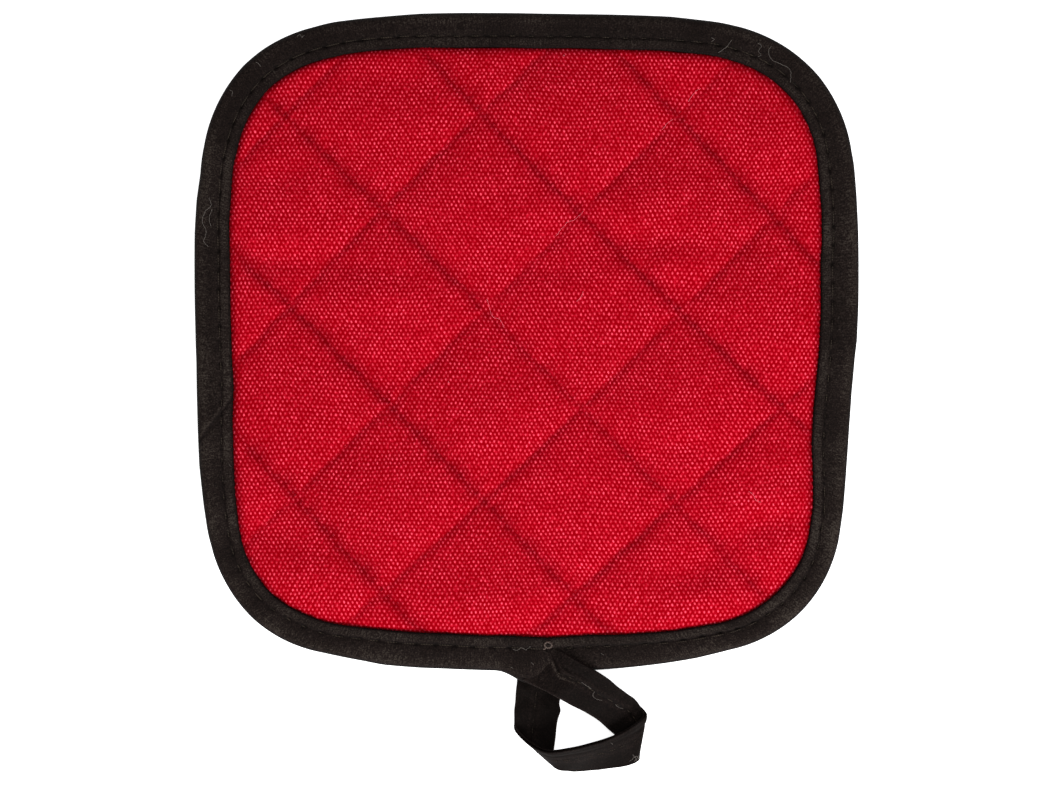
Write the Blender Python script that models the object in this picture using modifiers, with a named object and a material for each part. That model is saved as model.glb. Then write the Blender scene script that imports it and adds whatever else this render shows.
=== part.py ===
"""A quilted pot holder lying on its back, with its rim bound in tape and the tape's tail sewn into a loop.

Metres, +Z up. The pad's flattened quilting rests on z = 0, and the origin is under the middle of the whole
outline, loop included. The loop hangs off the -Y edge. Places in the tables are measured from the pad's own
middle.
"""

import math
from collections import namedtuple

import bmesh
import bpy
import numpy as np

MM = 0.001

# The pad's own middle, seen from the middle of the whole outline: the loop makes it longer on its -Y side.
PAD_MIDDLE = (0.2 * MM, 14.4 * MM, 0.0)

# Height of the rim's middle plane, so that the loop's sewn end fits between the tape and the table.
RIM_MIDDLE_Z = 4.1 * MM
RIM_HALF_THICKNESS = 1.3 * MM
SEAM_HALF_THICKNESS = 1.7 * MM
PUFF_HALF_THICKNESS = 4.2 * MM
UNDERSIDE_FULLNESS = 1.12

TAPE_THICKNESS = 0.9 * MM
TAPE_CLEARANCE = 0.3 * MM
TAPE_HALF_HEIGHT = RIM_HALF_THICKNESS + TAPE_CLEARANCE + TAPE_THICKNESS
PAD_EDGE_INSET = 1.8 * MM

STRAP_THICKNESS = 1.1 * MM

# Corners of the two outlines, anticlockwise from the +X +Y corner: the centre and radius of each corner's
# arc, and the radius of the slightly bowed side that follows it. All in millimetres.
Corner = namedtuple("Corner", "x y radius side_radius")
OUTER_EDGE = (
    Corner(46.3, 43.9, 43.0, 555.0),
    Corner(-46.5, 44.8, 42.4, 532.0),
    Corner(-47.8, -45.9, 39.4, 250.0),
    Corner(47.9, -47.3, 37.2, 553.0),
)
TAPE_INNER_EDGE = (
    Corner(45.3, 43.2, 34.4, 720.0),
    Corner(-45.1, 43.1, 35.0, 1150.0),
    Corner(-48.0, -46.2, 30.4, 390.0),
    Corner(45.8, -46.0, 31.1, 1550.0),
)
CORNER_STEPS = 14
SIDE_STEPS = (6, 6, 36, 6)

# Quilting seams, in millimetres. A seam runs diagonally at this offset from the pad's middle, and over the
# first SEAM_REACH of its length on either side it drifts by its slant and sags by its bow.
Seam = namedtuple("Seam", "offset slant bow")
SEAM_REACH = 90.0
FALLING_SEAMS = (
    Seam(-75.3, -3.6, 0.0),
    Seam(-38.8, -0.7, -1.8),
    Seam(-2.3, -0.1, -0.9),
    Seam(34.7, 0.8, 2.3),
    Seam(71.9, -2.5, 0.0),
)
RISING_SEAMS = (
    Seam(-89.7, -1.0, 0.0),
    Seam(-52.4, -0.2, 2.9),
    Seam(-13.9, 0.3, -0.5),
    Seam(24.1, 1.7, -2.4),
    Seam(60.4, 4.6, 0.0),
    Seam(97.0, 4.5, 0.0),
)
# The quilted grid is cut this finely between two seams, as shares of the space between them.
PUFF_STEPS = (0.0, 0.05, 0.14, 0.29, 0.5, 0.71, 0.86, 0.95)
GRID_REACH = 114.0
# The cloth reaches its full height this far from a seam or from the tape, and a higher roundness means a
# steeper start. Right beside the tape it has already risen by the start share.
PUFF_RISE = 10.5 * MM
PUFF_ROUNDNESS = 2.2
RIM_RISE = 11.0 * MM
RIM_ROUNDNESS = 1.8
RIM_START_SHARE = 0.08

# Where the tape's tail leaves the rim, the tape bulges outwards: its middle along X, half-width and depth.
TAIL_BULGE_X = 2.0 * MM
TAIL_BULGE_HALF_WIDTH = 10.5 * MM
TAIL_BULGE_DEPTH = 3.8 * MM

# The loop's crosswise lines, in millimetres from the pad's middle, each from the P edge of the strap to its
# Q edge. P borders the opening on the way out from the rim, Q on the far run, and P again on the way back
# under the tape.
Crossline = namedtuple("Crossline", "px py pz qx qy qz")
LOOP = (
    Crossline(-1.2, -92.3, 7.5, 5.3, -82.8, 7.5),
    Crossline(3.9, -94.4, 7.5, 9.9, -84.7, 7.6),
    Crossline(9.1, -97.3, 7.2, 15.4, -87.6, 7.7),
    Crossline(16.7, -101.4, 5.6, 22.4, -91.9, 6.2),
    Crossline(22.9, -106.3, 3.5, 26.9, -95.8, 4.1),
    Crossline(26.9, -110.3, 1.7, 29.4, -97.7, 2.1),
    Crossline(29.1, -113.0, 1.0, 31.2, -99.8, 1.1),
    Crossline(30.4, -114.2, 2.1, 32.4, -101.7, 2.3),
    Crossline(29.0, -115.2, 3.2, 31.1, -103.3, 3.6),
    Crossline(25.2, -116.1, 3.0, 28.3, -105.0, 5.9),
    Crossline(20.0, -117.0, 1.8, 23.2, -107.4, 7.0),
    Crossline(16.0, -117.3, 1.1, 17.8, -109.1, 8.2),
    Crossline(13.3, -117.4, 1.3, 12.4, -110.4, 8.5),
    Crossline(11.6, -117.2, 1.9, 7.5, -111.2, 7.7),
    Crossline(10.5, -116.8, 2.3, 4.0, -110.8, 6.2),
    Crossline(9.4, -116.1, 2.4, 0.3, -108.8, 4.0),
    Crossline(8.4, -115.2, 1.7, -2.7, -106.1, 1.9),
    Crossline(8.0, -113.2, 0.7, -3.2, -104.2, 0.7),
    Crossline(8.3, -109.1, 0.565, -3.4, -101.5, 0.565),
    Crossline(8.8, -103.7, 0.565, -3.1, -97.7, 0.565),
    Crossline(9.3, -96.9, 0.565, -2.6, -93.3, 0.565),
    Crossline(9.5, -90.1, 0.565, -2.3, -89.0, 0.565),
    Crossline(9.6, -85.2, 0.565, -2.0, -84.6, 0.565),
)
LOOP_STEPS = 3


def clear_scene():
    for obj in list(bpy.data.objects):
        bpy.data.objects.remove(obj, do_unlink=True)


def new_collection(name):
    collection = bpy.data.collections.new(name)
    bpy.context.scene.collection.children.link(collection)
    return collection


def cloth_material(name, colour, roughness):
    material = bpy.data.materials.new(name)
    material.use_nodes = True
    shader = material.node_tree.nodes["Principled BSDF"]
    shader.inputs["Base Color"].default_value = (*colour, 1.0)
    shader.inputs["Roughness"].default_value = roughness
    shader.inputs["Metallic"].default_value = 0.0
    return material


def side_centre(first, second, side_radius):
    """Centre of the arc that joins two corner arcs smoothly, going anticlockwise."""
    start = np.array((first.x, first.y))
    span = np.array((second.x, second.y)) - start
    length = np.linalg.norm(span)
    along = span / length
    inwards = np.array((-along[1], along[0]))
    reach_first = side_radius - first.radius
    reach_second = side_radius - second.radius
    foot = (reach_first**2 - reach_second**2 + length**2) / (2 * length)
    return start + along * foot + inwards * math.sqrt(reach_first**2 - foot**2)


def arc_points(centre, radius, start, end, steps):
    """Points from one angle anticlockwise towards another, without the last one."""
    sweep = (end - start) % (2 * math.pi)
    angles = start + sweep * np.arange(steps) / steps
    return centre + radius * np.column_stack((np.cos(angles), np.sin(angles)))


def outline(corners, inset=0.0):
    """Closed outline of corner arcs and bowed sides in metres, moved inwards by the inset."""
    inset_mm = inset / MM
    centres = [
        side_centre(corner, corners[(i + 1) % 4], corner.side_radius)
        for i, corner in enumerate(corners)
    ]

    def angle_at(corner, side):
        away = np.array((corner.x, corner.y)) - centres[side]
        return math.atan2(away[1], away[0])

    pieces = []
    for i, corner in enumerate(corners):
        following = corners[(i + 1) % 4]
        leaving = angle_at(corner, i)
        pieces.append(
            arc_points(
                np.array((corner.x, corner.y)),
                corner.radius - inset_mm,
                angle_at(corner, i - 1),
                leaving,
                CORNER_STEPS,
            )
        )
        pieces.append(
            arc_points(
                centres[i],
                corner.side_radius - inset_mm,
                leaving,
                angle_at(following, i),
                SIDE_STEPS[i],
            )
        )
    return np.concatenate(pieces) * MM


def depth_inside(points, edge):
    """How far each point lies inside a closed outline, negative outside it."""
    start = edge
    step = np.roll(edge, -1, axis=0) - start
    reach = points[:, None, :] - start[None, :, :]
    share = np.clip((reach * step).sum(2) / (step**2).sum(1), 0.0, 1.0)
    away = np.linalg.norm(reach - share[..., None] * step, axis=2)
    nearest = away.argmin(axis=1)
    rows = np.arange(len(points))
    near_step = step[nearest]
    near_reach = reach[rows, nearest]
    left_of_edge = near_step[:, 0] * near_reach[:, 1] - near_step[:, 1] * near_reach[:, 0]
    return away[rows, nearest] * np.where(left_of_edge > 0, 1.0, -1.0)


def seam_position(seam, along):
    """Offset of a seam from the pad's middle at a place along it, all in metres."""
    share = along / (SEAM_REACH * MM)
    return (seam.offset + seam.slant * share + seam.bow * share**2) * MM


def grid_lines(seams):
    """The seams and the lines between them that the quilted grid follows, from edge to edge."""
    edges = [Seam(-GRID_REACH, 0.0, 0.0), *seams, Seam(GRID_REACH, 0.0, 0.0)]
    lines = []
    for first, second in zip(edges[:-1], edges[1:]):
        for share in PUFF_STEPS:
            mixed = [a + (b - a) * share for a, b in zip(first, second)]
            lines.append(Seam(*mixed))
    lines.append(edges[-1])
    return lines


def crossing(falling, rising):
    """Where a falling and a rising line cross, from the pad's middle."""
    across_falling = falling.offset * MM
    across_rising = rising.offset * MM
    for _ in range(8):
        across_falling = seam_position(falling, across_rising)
        across_rising = seam_position(rising, across_falling)
    return (
        (across_falling + across_rising) / math.sqrt(2),
        (across_falling - across_rising) / math.sqrt(2),
    )


def puff_share(distance):
    """Rise of the filled cloth beside a seam, from 0 in the seam to 1 at the top of a puff."""
    share = np.clip(distance / PUFF_RISE, 0.0, 1.0)
    return 1.0 - (1.0 - share) ** PUFF_ROUNDNESS


def nearest_seam(seams, across, along):
    distances = [np.abs(across - seam_position(seam, along)) for seam in seams]
    return np.min(distances, axis=0)


def half_thickness(points, tape_edge):
    """Half the pad's thickness over each point: quilted, and drawn in under the tape."""
    across_falling = (points[:, 0] + points[:, 1]) / math.sqrt(2)
    across_rising = (points[:, 0] - points[:, 1]) / math.sqrt(2)
    rise = puff_share(nearest_seam(FALLING_SEAMS, across_falling, across_rising))
    rise = rise * puff_share(nearest_seam(RISING_SEAMS, across_rising, across_falling))
    quilted = SEAM_HALF_THICKNESS + (PUFF_HALF_THICKNESS - SEAM_HALF_THICKNESS) * rise
    rim = np.clip(depth_inside(points, tape_edge) / RIM_RISE, 0.0, 1.0)
    rim = RIM_START_SHARE + (1.0 - RIM_START_SHARE) * (1.0 - (1.0 - rim) ** RIM_ROUNDNESS)
    return RIM_HALF_THICKNESS + (quilted - RIM_HALF_THICKNESS) * rim


def add_object(name, mesh, collection, material=None):
    obj = bpy.data.objects.new(name, mesh)
    collection.objects.link(obj)
    if material:
        mesh.materials.append(material)
    return obj


def evaluated_mesh(obj):
    """The object's mesh with its modifiers applied."""
    graph = bpy.context.evaluated_depsgraph_get()
    return bpy.data.meshes.new_from_object(obj.evaluated_get(graph))


def add_boolean(obj, cutter, operation):
    modifier = obj.modifiers.new(cutter.name, "BOOLEAN")
    modifier.operation = operation
    modifier.solver = "EXACT"
    modifier.object = cutter


def flat_block(name, outlines, bottom, top, collection):
    """A block between two heights on one or two outlines, the second of which is a hole."""
    curve = bpy.data.curves.new(name, "CURVE")
    curve.dimensions = "2D"
    curve.fill_mode = "BOTH"
    curve.extrude = (top - bottom) / 2
    for edge in outlines:
        spline = curve.splines.new("POLY")
        spline.points.add(len(edge) - 1)
        for point, (x, y) in zip(spline.points, edge):
            point.co = (x, y, 0.0, 1.0)
        spline.use_cyclic_u = True
    drawn = bpy.data.objects.new(name, curve)
    collection.objects.link(drawn)
    mesh = evaluated_mesh(drawn)
    bpy.data.objects.remove(drawn)
    shape = bmesh.new()
    shape.from_mesh(mesh)
    bmesh.ops.remove_doubles(shape, verts=shape.verts, dist=0.01 * MM)
    bmesh.ops.recalc_face_normals(shape, faces=shape.faces)
    bmesh.ops.translate(shape, verts=shape.verts, vec=(0.0, 0.0, (top + bottom) / 2))
    shape.to_mesh(mesh)
    shape.free()
    block = add_object(name, mesh, collection)
    block.hide_render = True
    block.display_type = "WIRE"
    return block


def quilted_slab(collection):
    """A flat slab of unit half-thickness whose grid runs along the quilting seams."""
    falling = grid_lines(FALLING_SEAMS)
    rising = grid_lines(RISING_SEAMS)
    shape = bmesh.new()
    bmesh.ops.create_grid(
        shape, x_segments=len(falling) - 1, y_segments=len(rising) - 1, size=1.0
    )
    shape.verts.ensure_lookup_table()
    for vert in shape.verts:
        column = round((vert.co.x + 1.0) / 2.0 * (len(falling) - 1))
        row = round((vert.co.y + 1.0) / 2.0 * (len(rising) - 1))
        vert.co.x, vert.co.y = crossing(falling[column], rising[row])
    bmesh.ops.recalc_face_normals(shape, faces=shape.faces)
    mesh = bpy.data.meshes.new("quilted_slab")
    shape.to_mesh(mesh)
    shape.free()
    slab = add_object("quilted_slab", mesh, collection)
    thicken = slab.modifiers.new("thickness", "SOLIDIFY")
    thicken.thickness = 2 * RIM_HALF_THICKNESS
    thicken.offset = 0.0
    return slab


def shape_pad(mesh, tape_edge):
    """Lifts the flat slab's two faces to the quilted, filled form, flattened where it lies on the table."""
    shape = bmesh.new()
    shape.from_mesh(mesh)
    bmesh.ops.triangulate(shape, faces=shape.faces)
    places = np.array([(vert.co.x, vert.co.y) for vert in shape.verts])
    heights = half_thickness(places, tape_edge)
    for vert, height in zip(shape.verts, heights):
        if vert.co.z > 0:
            vert.co.z = RIM_MIDDLE_Z + height
        else:
            vert.co.z = max(0.0, RIM_MIDDLE_Z - height * UNDERSIDE_FULLNESS)
    shape.to_mesh(mesh)
    shape.free()


def make_pad(collection, cutters, material):
    """The quilted pad: cut to its outline, filled, and pressed flat where the tape clasps it."""
    tape_edge = outline(TAPE_INNER_EDGE)
    pad_edge = outline(OUTER_EDGE, PAD_EDGE_INSET)
    tall = PAD_EDGE_INSET * 2
    slab = quilted_slab(cutters)
    cut_line = flat_block("pad_cut_line", [pad_edge], -tall, tall, cutters)
    add_boolean(slab, cut_line, "INTERSECT")
    mesh = evaluated_mesh(slab)
    bpy.data.objects.remove(slab)
    mesh.name = "quilted_pad"
    shape_pad(mesh, tape_edge)
    pad = add_object("quilted_pad", mesh, collection, material)
    wide_edge = outline(OUTER_EDGE, -2 * MM)
    clasped_edge = outline(TAPE_INNER_EDGE, TAPE_CLEARANCE)
    above = RIM_MIDDLE_Z + RIM_HALF_THICKNESS
    below = RIM_MIDDLE_Z - RIM_HALF_THICKNESS
    press = 10 * MM
    over = flat_block("clasp_over", [wide_edge, clasped_edge], above, above + press, cutters)
    under = flat_block("clasp_under", [wide_edge, clasped_edge], below - press, below, cutters)
    add_boolean(pad, over, "DIFFERENCE")
    add_boolean(pad, under, "DIFFERENCE")
    return pad


def loft(name, sections, closed):
    """A solid through sections of the same number of points, joined in a ring or capped at both ends."""
    count = len(sections)
    shape = bmesh.new()
    rings = [[shape.verts.new(point) for point in section] for section in sections]
    for i in range(count if closed else count - 1):
        first = rings[i]
        second = rings[(i + 1) % count]
        for j, corner in enumerate(first):
            k = (j + 1) % len(first)
            shape.faces.new((corner, first[k], second[k], second[j]))
    if not closed:
        shape.faces.new(rings[0])
        shape.faces.new(rings[-1])
    bmesh.ops.recalc_face_normals(shape, faces=shape.faces)
    mesh = bpy.data.meshes.new(name)
    shape.to_mesh(mesh)
    shape.free()
    mesh.shade_smooth()
    mesh.set_sharp_from_angle(angle=math.radians(40))
    return mesh


def tail_bulge(points):
    """How far the tape is pulled outwards at each point of the rim, on the loop's side only."""
    share = np.clip((points[:, 0] - TAIL_BULGE_X) / TAIL_BULGE_HALF_WIDTH, -1.0, 1.0)
    pull = TAIL_BULGE_DEPTH * (1.0 + np.cos(math.pi * share)) / 2
    return np.where(points[:, 1] < 0, pull, 0.0)


def tape_section():
    """The tape's C, as (distance in from the outer edge, from the inner edge, height, share of the bulge).

    A point is measured either from the outer edge or from the inner one. The shallow valley near the inner
    edge is where the topstitching pulls the tape down.
    """
    top = TAPE_HALF_HEIGHT
    jaw = RIM_HALF_THICKNESS + TAPE_CLEARANCE
    upper = (
        (None, 0.0, jaw, 0.0),
        (None, 0.0, top - 0.3 * MM, 0.0),
        (None, 0.35 * MM, top, 0.0),
        (None, 1.9 * MM, top, 0.0),
        (None, 2.4 * MM, top - 0.3 * MM, 0.0),
        (None, 2.9 * MM, top, 0.0),
        (3.4 * MM, None, top, 0.2),
        (1.3 * MM, None, 0.92 * top, 0.9),
        (0.35 * MM, None, 0.55 * top, 1.0),
    )
    inner = (
        (0.9 * MM, None, 0.5 * jaw, 0.0),
        (1.7 * MM, None, jaw, 0.0),
    )
    lower = [(out, back, -height, bulge) for out, back, height, bulge in reversed(upper)]
    inner_lower = [(out, back, -height, bulge) for out, back, height, bulge in reversed(inner)]
    return [*upper, *lower, *inner_lower, *inner]


def make_tape(collection, material):
    """The folded tape round the rim, a ring with a C-shaped section that clasps the pad."""
    outer = outline(OUTER_EDGE)
    inner = outline(TAPE_INNER_EDGE)
    bulge = tail_bulge(outer)
    sections = []
    for edge, back_edge, pull in zip(outer, inner, bulge):
        width = np.linalg.norm(back_edge - edge)
        inwards = (back_edge - edge) / width
        section = []
        for out, back, height, share in tape_section():
            distance = out if back is None else width - back
            place = edge + inwards * (distance - pull * share)
            section.append((place[0], place[1], RIM_MIDDLE_Z + height))
        sections.append(section)
    return add_object("edge_binding", loft("edge_binding", sections, True), collection, material)


def smooth_rows(rows, steps):
    """Rows of numbers with more between them, along smooth curves that pass through each row."""
    rows = np.array(rows, float)
    padded = np.vstack((2 * rows[0] - rows[1], rows, 2 * rows[-1] - rows[-2]))
    found = []
    for before, start, end, after in zip(padded, padded[1:], padded[2:], padded[3:]):
        for t in np.arange(steps) / steps:
            found.append(
                0.5
                * (
                    2 * start
                    + (end - before) * t
                    + (2 * before - 5 * start + 4 * end - after) * t**2
                    + (3 * start - before - 3 * end + after) * t**3
                )
            )
    found.append(rows[-1])
    return np.array(found)


def make_loop(collection, material):
    """The tape's tail, folded shut and sewn back under the rim: a flat strap that turns over twice."""
    lines = smooth_rows(LOOP, LOOP_STEPS) * MM
    p_edge = lines[:, :3]
    q_edge = lines[:, 3:]
    lift = np.cross(q_edge - p_edge, np.gradient((p_edge + q_edge) / 2, axis=0))
    lift *= STRAP_THICKNESS / 2 / np.linalg.norm(lift, axis=1)[:, None]
    profile = ((0.0, 0.5), (0.03, 1.0), (0.35, 1.0), (0.65, 1.0), (0.97, 1.0), (1.0, 0.5))
    around = [*profile, *[(share, -height) for share, height in reversed(profile)]]
    sections = [
        [p + (q - p) * share + up * height for share, height in around]
        for p, q, up in zip(p_edge, q_edge, lift)
    ]
    return add_object("hanging_loop", loft("hanging_loop", sections, False), collection, material)


def main():
    clear_scene()
    collection = new_collection("pot_holder")
    cutters = new_collection("cutters")
    canvas = cloth_material("red_cotton_canvas", (0.42, 0.006, 0.014), 0.85)
    tape_cloth = cloth_material("black_cotton_tape", (0.014, 0.011, 0.010), 0.8)
    middle = bpy.data.objects.new("pad_middle", None)
    middle.location = PAD_MIDDLE
    collection.objects.link(middle)
    pieces = (
        make_pad(collection, cutters, canvas),
        make_tape(collection, tape_cloth),
        make_loop(collection, tape_cloth),
    )
    for obj in [*pieces, *cutters.objects]:
        obj.parent = middle


main()
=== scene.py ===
"""A red quilted pot holder with black edge tape and a twisted loop, lying face up under soft studio light.

Metres, +Z up. Sizes in the tables are millimetres, measured from the pad's own middle.
"""

import math
from collections import namedtuple

import bmesh
import bpy
import numpy as np
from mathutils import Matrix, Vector


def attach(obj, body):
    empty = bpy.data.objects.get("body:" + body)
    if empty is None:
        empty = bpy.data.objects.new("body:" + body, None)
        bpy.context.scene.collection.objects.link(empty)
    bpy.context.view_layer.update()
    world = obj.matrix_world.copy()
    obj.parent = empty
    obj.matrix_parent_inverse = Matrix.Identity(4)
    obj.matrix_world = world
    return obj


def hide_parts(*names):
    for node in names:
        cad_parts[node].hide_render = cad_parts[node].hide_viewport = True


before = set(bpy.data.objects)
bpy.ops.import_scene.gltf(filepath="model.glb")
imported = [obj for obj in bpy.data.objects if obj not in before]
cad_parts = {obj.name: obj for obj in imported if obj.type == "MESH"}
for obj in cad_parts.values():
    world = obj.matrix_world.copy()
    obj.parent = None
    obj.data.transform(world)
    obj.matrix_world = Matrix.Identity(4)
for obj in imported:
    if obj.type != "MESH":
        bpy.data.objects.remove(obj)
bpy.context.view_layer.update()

MM = 0.001
PAD_MIDDLE = np.array((0.2, 14.4, 0.0)) * MM

# Sizes and layout, in millimetres

# The filled pad: half its thickness at the rim, over a seam and in the middle of a square, and how it rises.
OUTLINE_STEPS = 60
RIM_MIDDLE_Z = 4.1
RIM_HALF = 1.3
CROWN_START_HALF = 2.75
PUFF_HALF = 4.35
PUFF_SPREAD = 0.10
PUFF_LENGTH = 46.0
HALF_SQUARE = 18.6
CROWN_POWER = 2.5
RIM_RISE = 12.0
RIM_RISE_POWER = 1.6
RIM_STEP_SHARE = 0.54
RIM_STEP_REACH = 0.5
CUT_LINE_INSET = 2.2
QUILTING_UNDER_TAPE = 0.5
UNDERSIDE_FULLNESS = 1.1
UNDERSIDE_FOLD_SHARE = 0.4
REST_ROUNDING = 0.15

# What the quilting thread draws in, and the soft lumps of the filling between the seams.
CREASE_DEPTH = 0.44
CREASE_REACH = 1.15
CREASE_ROUNDING = 0.55
CREASE_FROM_RIM = 3.6
CREASE_RIM_POWER = 2.4
FURROW_DEPTH = 0.26
FURROW_REACH = 1.15
NEEDLE_HOLE_SHARE = 0.45
PUCKER_HEIGHT = 0.17
PUCKER_LENGTH = 6.5
PUCKER_REACH = 3.2
PUCKER_START = 0.7
LUMP_HEIGHT = 0.09
LUMP_LENGTH = 14.0

# How far the painted shade of a sewn line and of the tape's edge reaches over the cloth, and how strong a
# sewn line's painted shade is.
FALLING_SHADE_REACH = 2.35
RISING_SHADE_REACH = 1.60
SEAM_SHADE = 0.37
RIM_SHADE_REACH = 0.75

# The canvas: crowns of thread stand this far apart in a row, and rows this far apart.
CROWN_PITCH = 1.22
ROW_PITCH = 1.06

# The tape: half its folded thickness, its cloth, where its flat part lies, and the stitched line by its lip.
TAPE_STEPS = 120
TAPE_HALF = 2.5
TAPE_PANEL_HALF = 2.65
TAPE_THICKNESS = 0.9
TAPE_FOLD_START = 2.4
TAPE_PANEL_START = 1.6
# Painted light in the hollow that clasps the pad.
HOLLOW_PAINTED_LIGHT = 0.1
VALLEY_FROM_EDGE = 3.15
LIP_SWELL = 0.12
LIP_STATIONS = (0.5, 0.9, 1.4, 1.9, 2.3, 2.6, 2.8, 2.95, 3.07, 3.15, 3.23, 3.35, 3.5, 3.75, 4.1)
CHANNEL_DEPTH = 0.10
CHANNEL_REACH = 0.40
HOLE_DEPTH = 0.42
HOLE_REACH = 0.45
HOLE_HALF = 0.13

# The loop's strap. Its stitching starts and ends at these fine crosswise lines. Its seam comes in from the
# lip and then runs near the middle, as pairs of millimetres along the strap and share across it.
STRAP_THICKNESS = 1.1
STRAP_WIDTH = 11.4
STRAP_FOLD_SHARE = 0.80
STRAP_SLIT = 0.14
STRAP_START_SINK = 1.75
STRAP_START_REACH = 5.5
STRAP_REST_HEIGHT = 0.01
STRAP_THREAD_HEIGHT = 0.13
STRAP_STITCH_START = 14.0
STRAP_STITCH_END = 235.0
SEAM_PATH = (
    (0.0, 0.95), (3.5, 0.78), (7.7, 0.52), (10.8, 0.58),
    (19.4, 0.55), (29.5, 0.68), (40.0, 0.57), (105.0, 0.53),
)

# The sewing, and how far each row lies over the cloth on the face and on the back. Below zero it is sunk in.
Stitch = namedtuple("Stitch", "pitch length radius face_lift back_lift")
QUILTING = Stitch(3.2, 2.3, 0.13, -0.08, -0.04)
TOPSTITCHING = Stitch(5.0, 3.9, 0.16, -0.03, -0.03)
STRAP_SEWING = Stitch(3.1, 2.2, 0.11, -0.14, -0.12)

# The picture: its width in pixels, its scale, the camera's place and lens, and the lit table.
PICTURE_WIDTH = 1054
PIXELS_PER_MM = 3.68
CAMERA_X = 0.34
FOCUS_HEIGHT = 5.0
LENS = 85.0
SENSOR = 36.0
TABLE_HALF = 3000.0
TABLE_DROP = 0.05

Corner = namedtuple("Corner", "x y radius side_radius")
OUTER_EDGE = (
    Corner(46.3, 43.9, 43.0, 555.0),
    Corner(-46.5, 44.8, 42.4, 532.0),
    Corner(-47.8, -45.9, 39.4, 250.0),
    Corner(47.9, -47.3, 37.2, 553.0),
)
TAPE_INNER_EDGE = (
    Corner(45.3, 43.2, 34.4, 720.0),
    Corner(-45.1, 43.1, 35.0, 1150.0),
    Corner(-48.0, -46.2, 30.4, 390.0),
    Corner(45.8, -46.0, 31.1, 1550.0),
)

# How far each edge wanders out from its smooth outline, as pairs of direction in degrees and millimetres.
OUTER_WANDER = (
    (0, 0.55), (6, 0.68), (12, 0.63), (18, 0.58), (24, 0.30), (30, -0.20), (33, 0.00), (42, 0.43), (48, 0.33),
    (57, -0.02), (66, 0.48), (72, 0.20), (81, -0.15), (87, -0.20), (96, 0.00), (108, 0.43), (117, 0.10),
    (124, -0.40), (132, 0.20), (136, 0.33), (144, -0.13), (149, -0.42), (153, -0.25), (157, 0.35),
    (162, 0.45), (168, 0.20), (177, -0.10), (184, -0.23), (192, 0.05), (201, 0.50), (207, 0.30),
    (213, -0.20), (219, 0.05), (226, 0.50), (231, 0.50), (237, 0.36), (243, 0.42), (246, 0.60), (249, 0.35),
    (252, 0.10), (256, -0.30), (261, -0.50), (266, -0.55), (280, 0.00), (294, 0.55), (298, 0.65),
    (303, 0.38), (309, 0.32), (315, 0.45), (324, 0.42), (332, 0.60), (339, 0.15), (345, -0.10),
    (351, -0.13), (357, 0.20),
)
INNER_WANDER = (
    (0, 0.50), (6, 0.62), (12, 0.40), (15, 0.25), (18, 0.60), (24, 0.40), (27, -0.10), (30, -0.50),
    (36, 0.05), (42, 0.45), (48, 0.30), (54, -0.10), (60, 0.20), (66, 0.50), (72, 0.10), (81, 0.15),
    (87, -0.10), (93, 0.10), (102, 0.15), (111, 0.60), (117, 0.40), (120, 0.10), (124, -0.50), (129, -0.10),
    (135, 0.35), (141, 0.00), (147, -0.60), (153, -0.10), (158, 0.40), (165, 0.10), (174, 0.00),
    (183, -0.20), (189, -0.45), (195, 0.10), (201, 0.30), (207, 0.35), (213, -0.15), (219, 0.20),
    (225, 0.45), (231, 0.10), (237, 0.65), (243, 0.60), (249, 0.50), (255, 0.20), (261, 0.30), (267, 0.20),
    (274, 0.70), (282, 0.30), (288, 0.70), (297, 0.85), (303, 0.30), (312, 0.30), (321, 0.65), (327, 0.40),
    (330, 0.80), (335, 0.20), (340, -0.60), (346, -0.50), (351, -0.10), (357, 0.40),
)

# Falling seams run down to the right on the face, and rising ones up. Each is slightly slanted and bowed.
Seam = namedtuple("Seam", "offset slant bow")
SEAM_REACH = 90.0
SEAM_WANDER = 0.22
SEAM_WANDER_LENGTH = 11.0
FALLING_SEED = 70
RISING_SEED = 80
FALLING_SEAMS = (
    Seam(-74.4, -3.6, 0.0),
    Seam(-38.0, -0.7, -1.8),
    Seam(-1.7, -0.1, -0.9),
    Seam(35.3, 0.8, 2.3),
    Seam(72.3, -2.5, 0.0),
)
RISING_SEAMS = (
    Seam(-89.7, -1.0, 0.0),
    Seam(-53.0, -0.2, 2.9),
    Seam(-14.1, 0.3, -0.5),
    Seam(23.4, 1.7, -2.4),
    Seam(59.6, 4.6, 0.0),
    Seam(97.0, 4.5, 0.0),
)

# How hard each seam's thread pulls at places along it, as pairs of place and pull.
FALLING_PULL = (
    ((-20.0, 0.98), (0.0, 1.12), (25.0, 1.12)),
    ((-33.0, 1.15), (4.0, 0.96), (41.0, 0.92)),
    ((-71.0, 0.90), (-33.0, 1.00), (5.0, 0.52), (42.0, 0.64), (79.0, 0.90)),
    ((-33.0, 0.98), (5.0, 0.96), (43.0, 0.98), (80.0, 0.72)),
    ((5.0, 1.02),),
)
RISING_PULL = (
    ((0.0, 0.50),),
    ((-21.0, 0.52), (16.0, 0.46)),
    ((-57.0, 0.38), (16.0, 0.38), (53.0, 0.32)),
    ((-58.0, 0.44), (-21.0, 0.48), (16.0, 0.38), (53.0, 0.42)),
    ((-60.0, 0.60), (-21.0, 0.68), (17.0, 0.60)),
    ((0.0, 0.50),),
)

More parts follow.
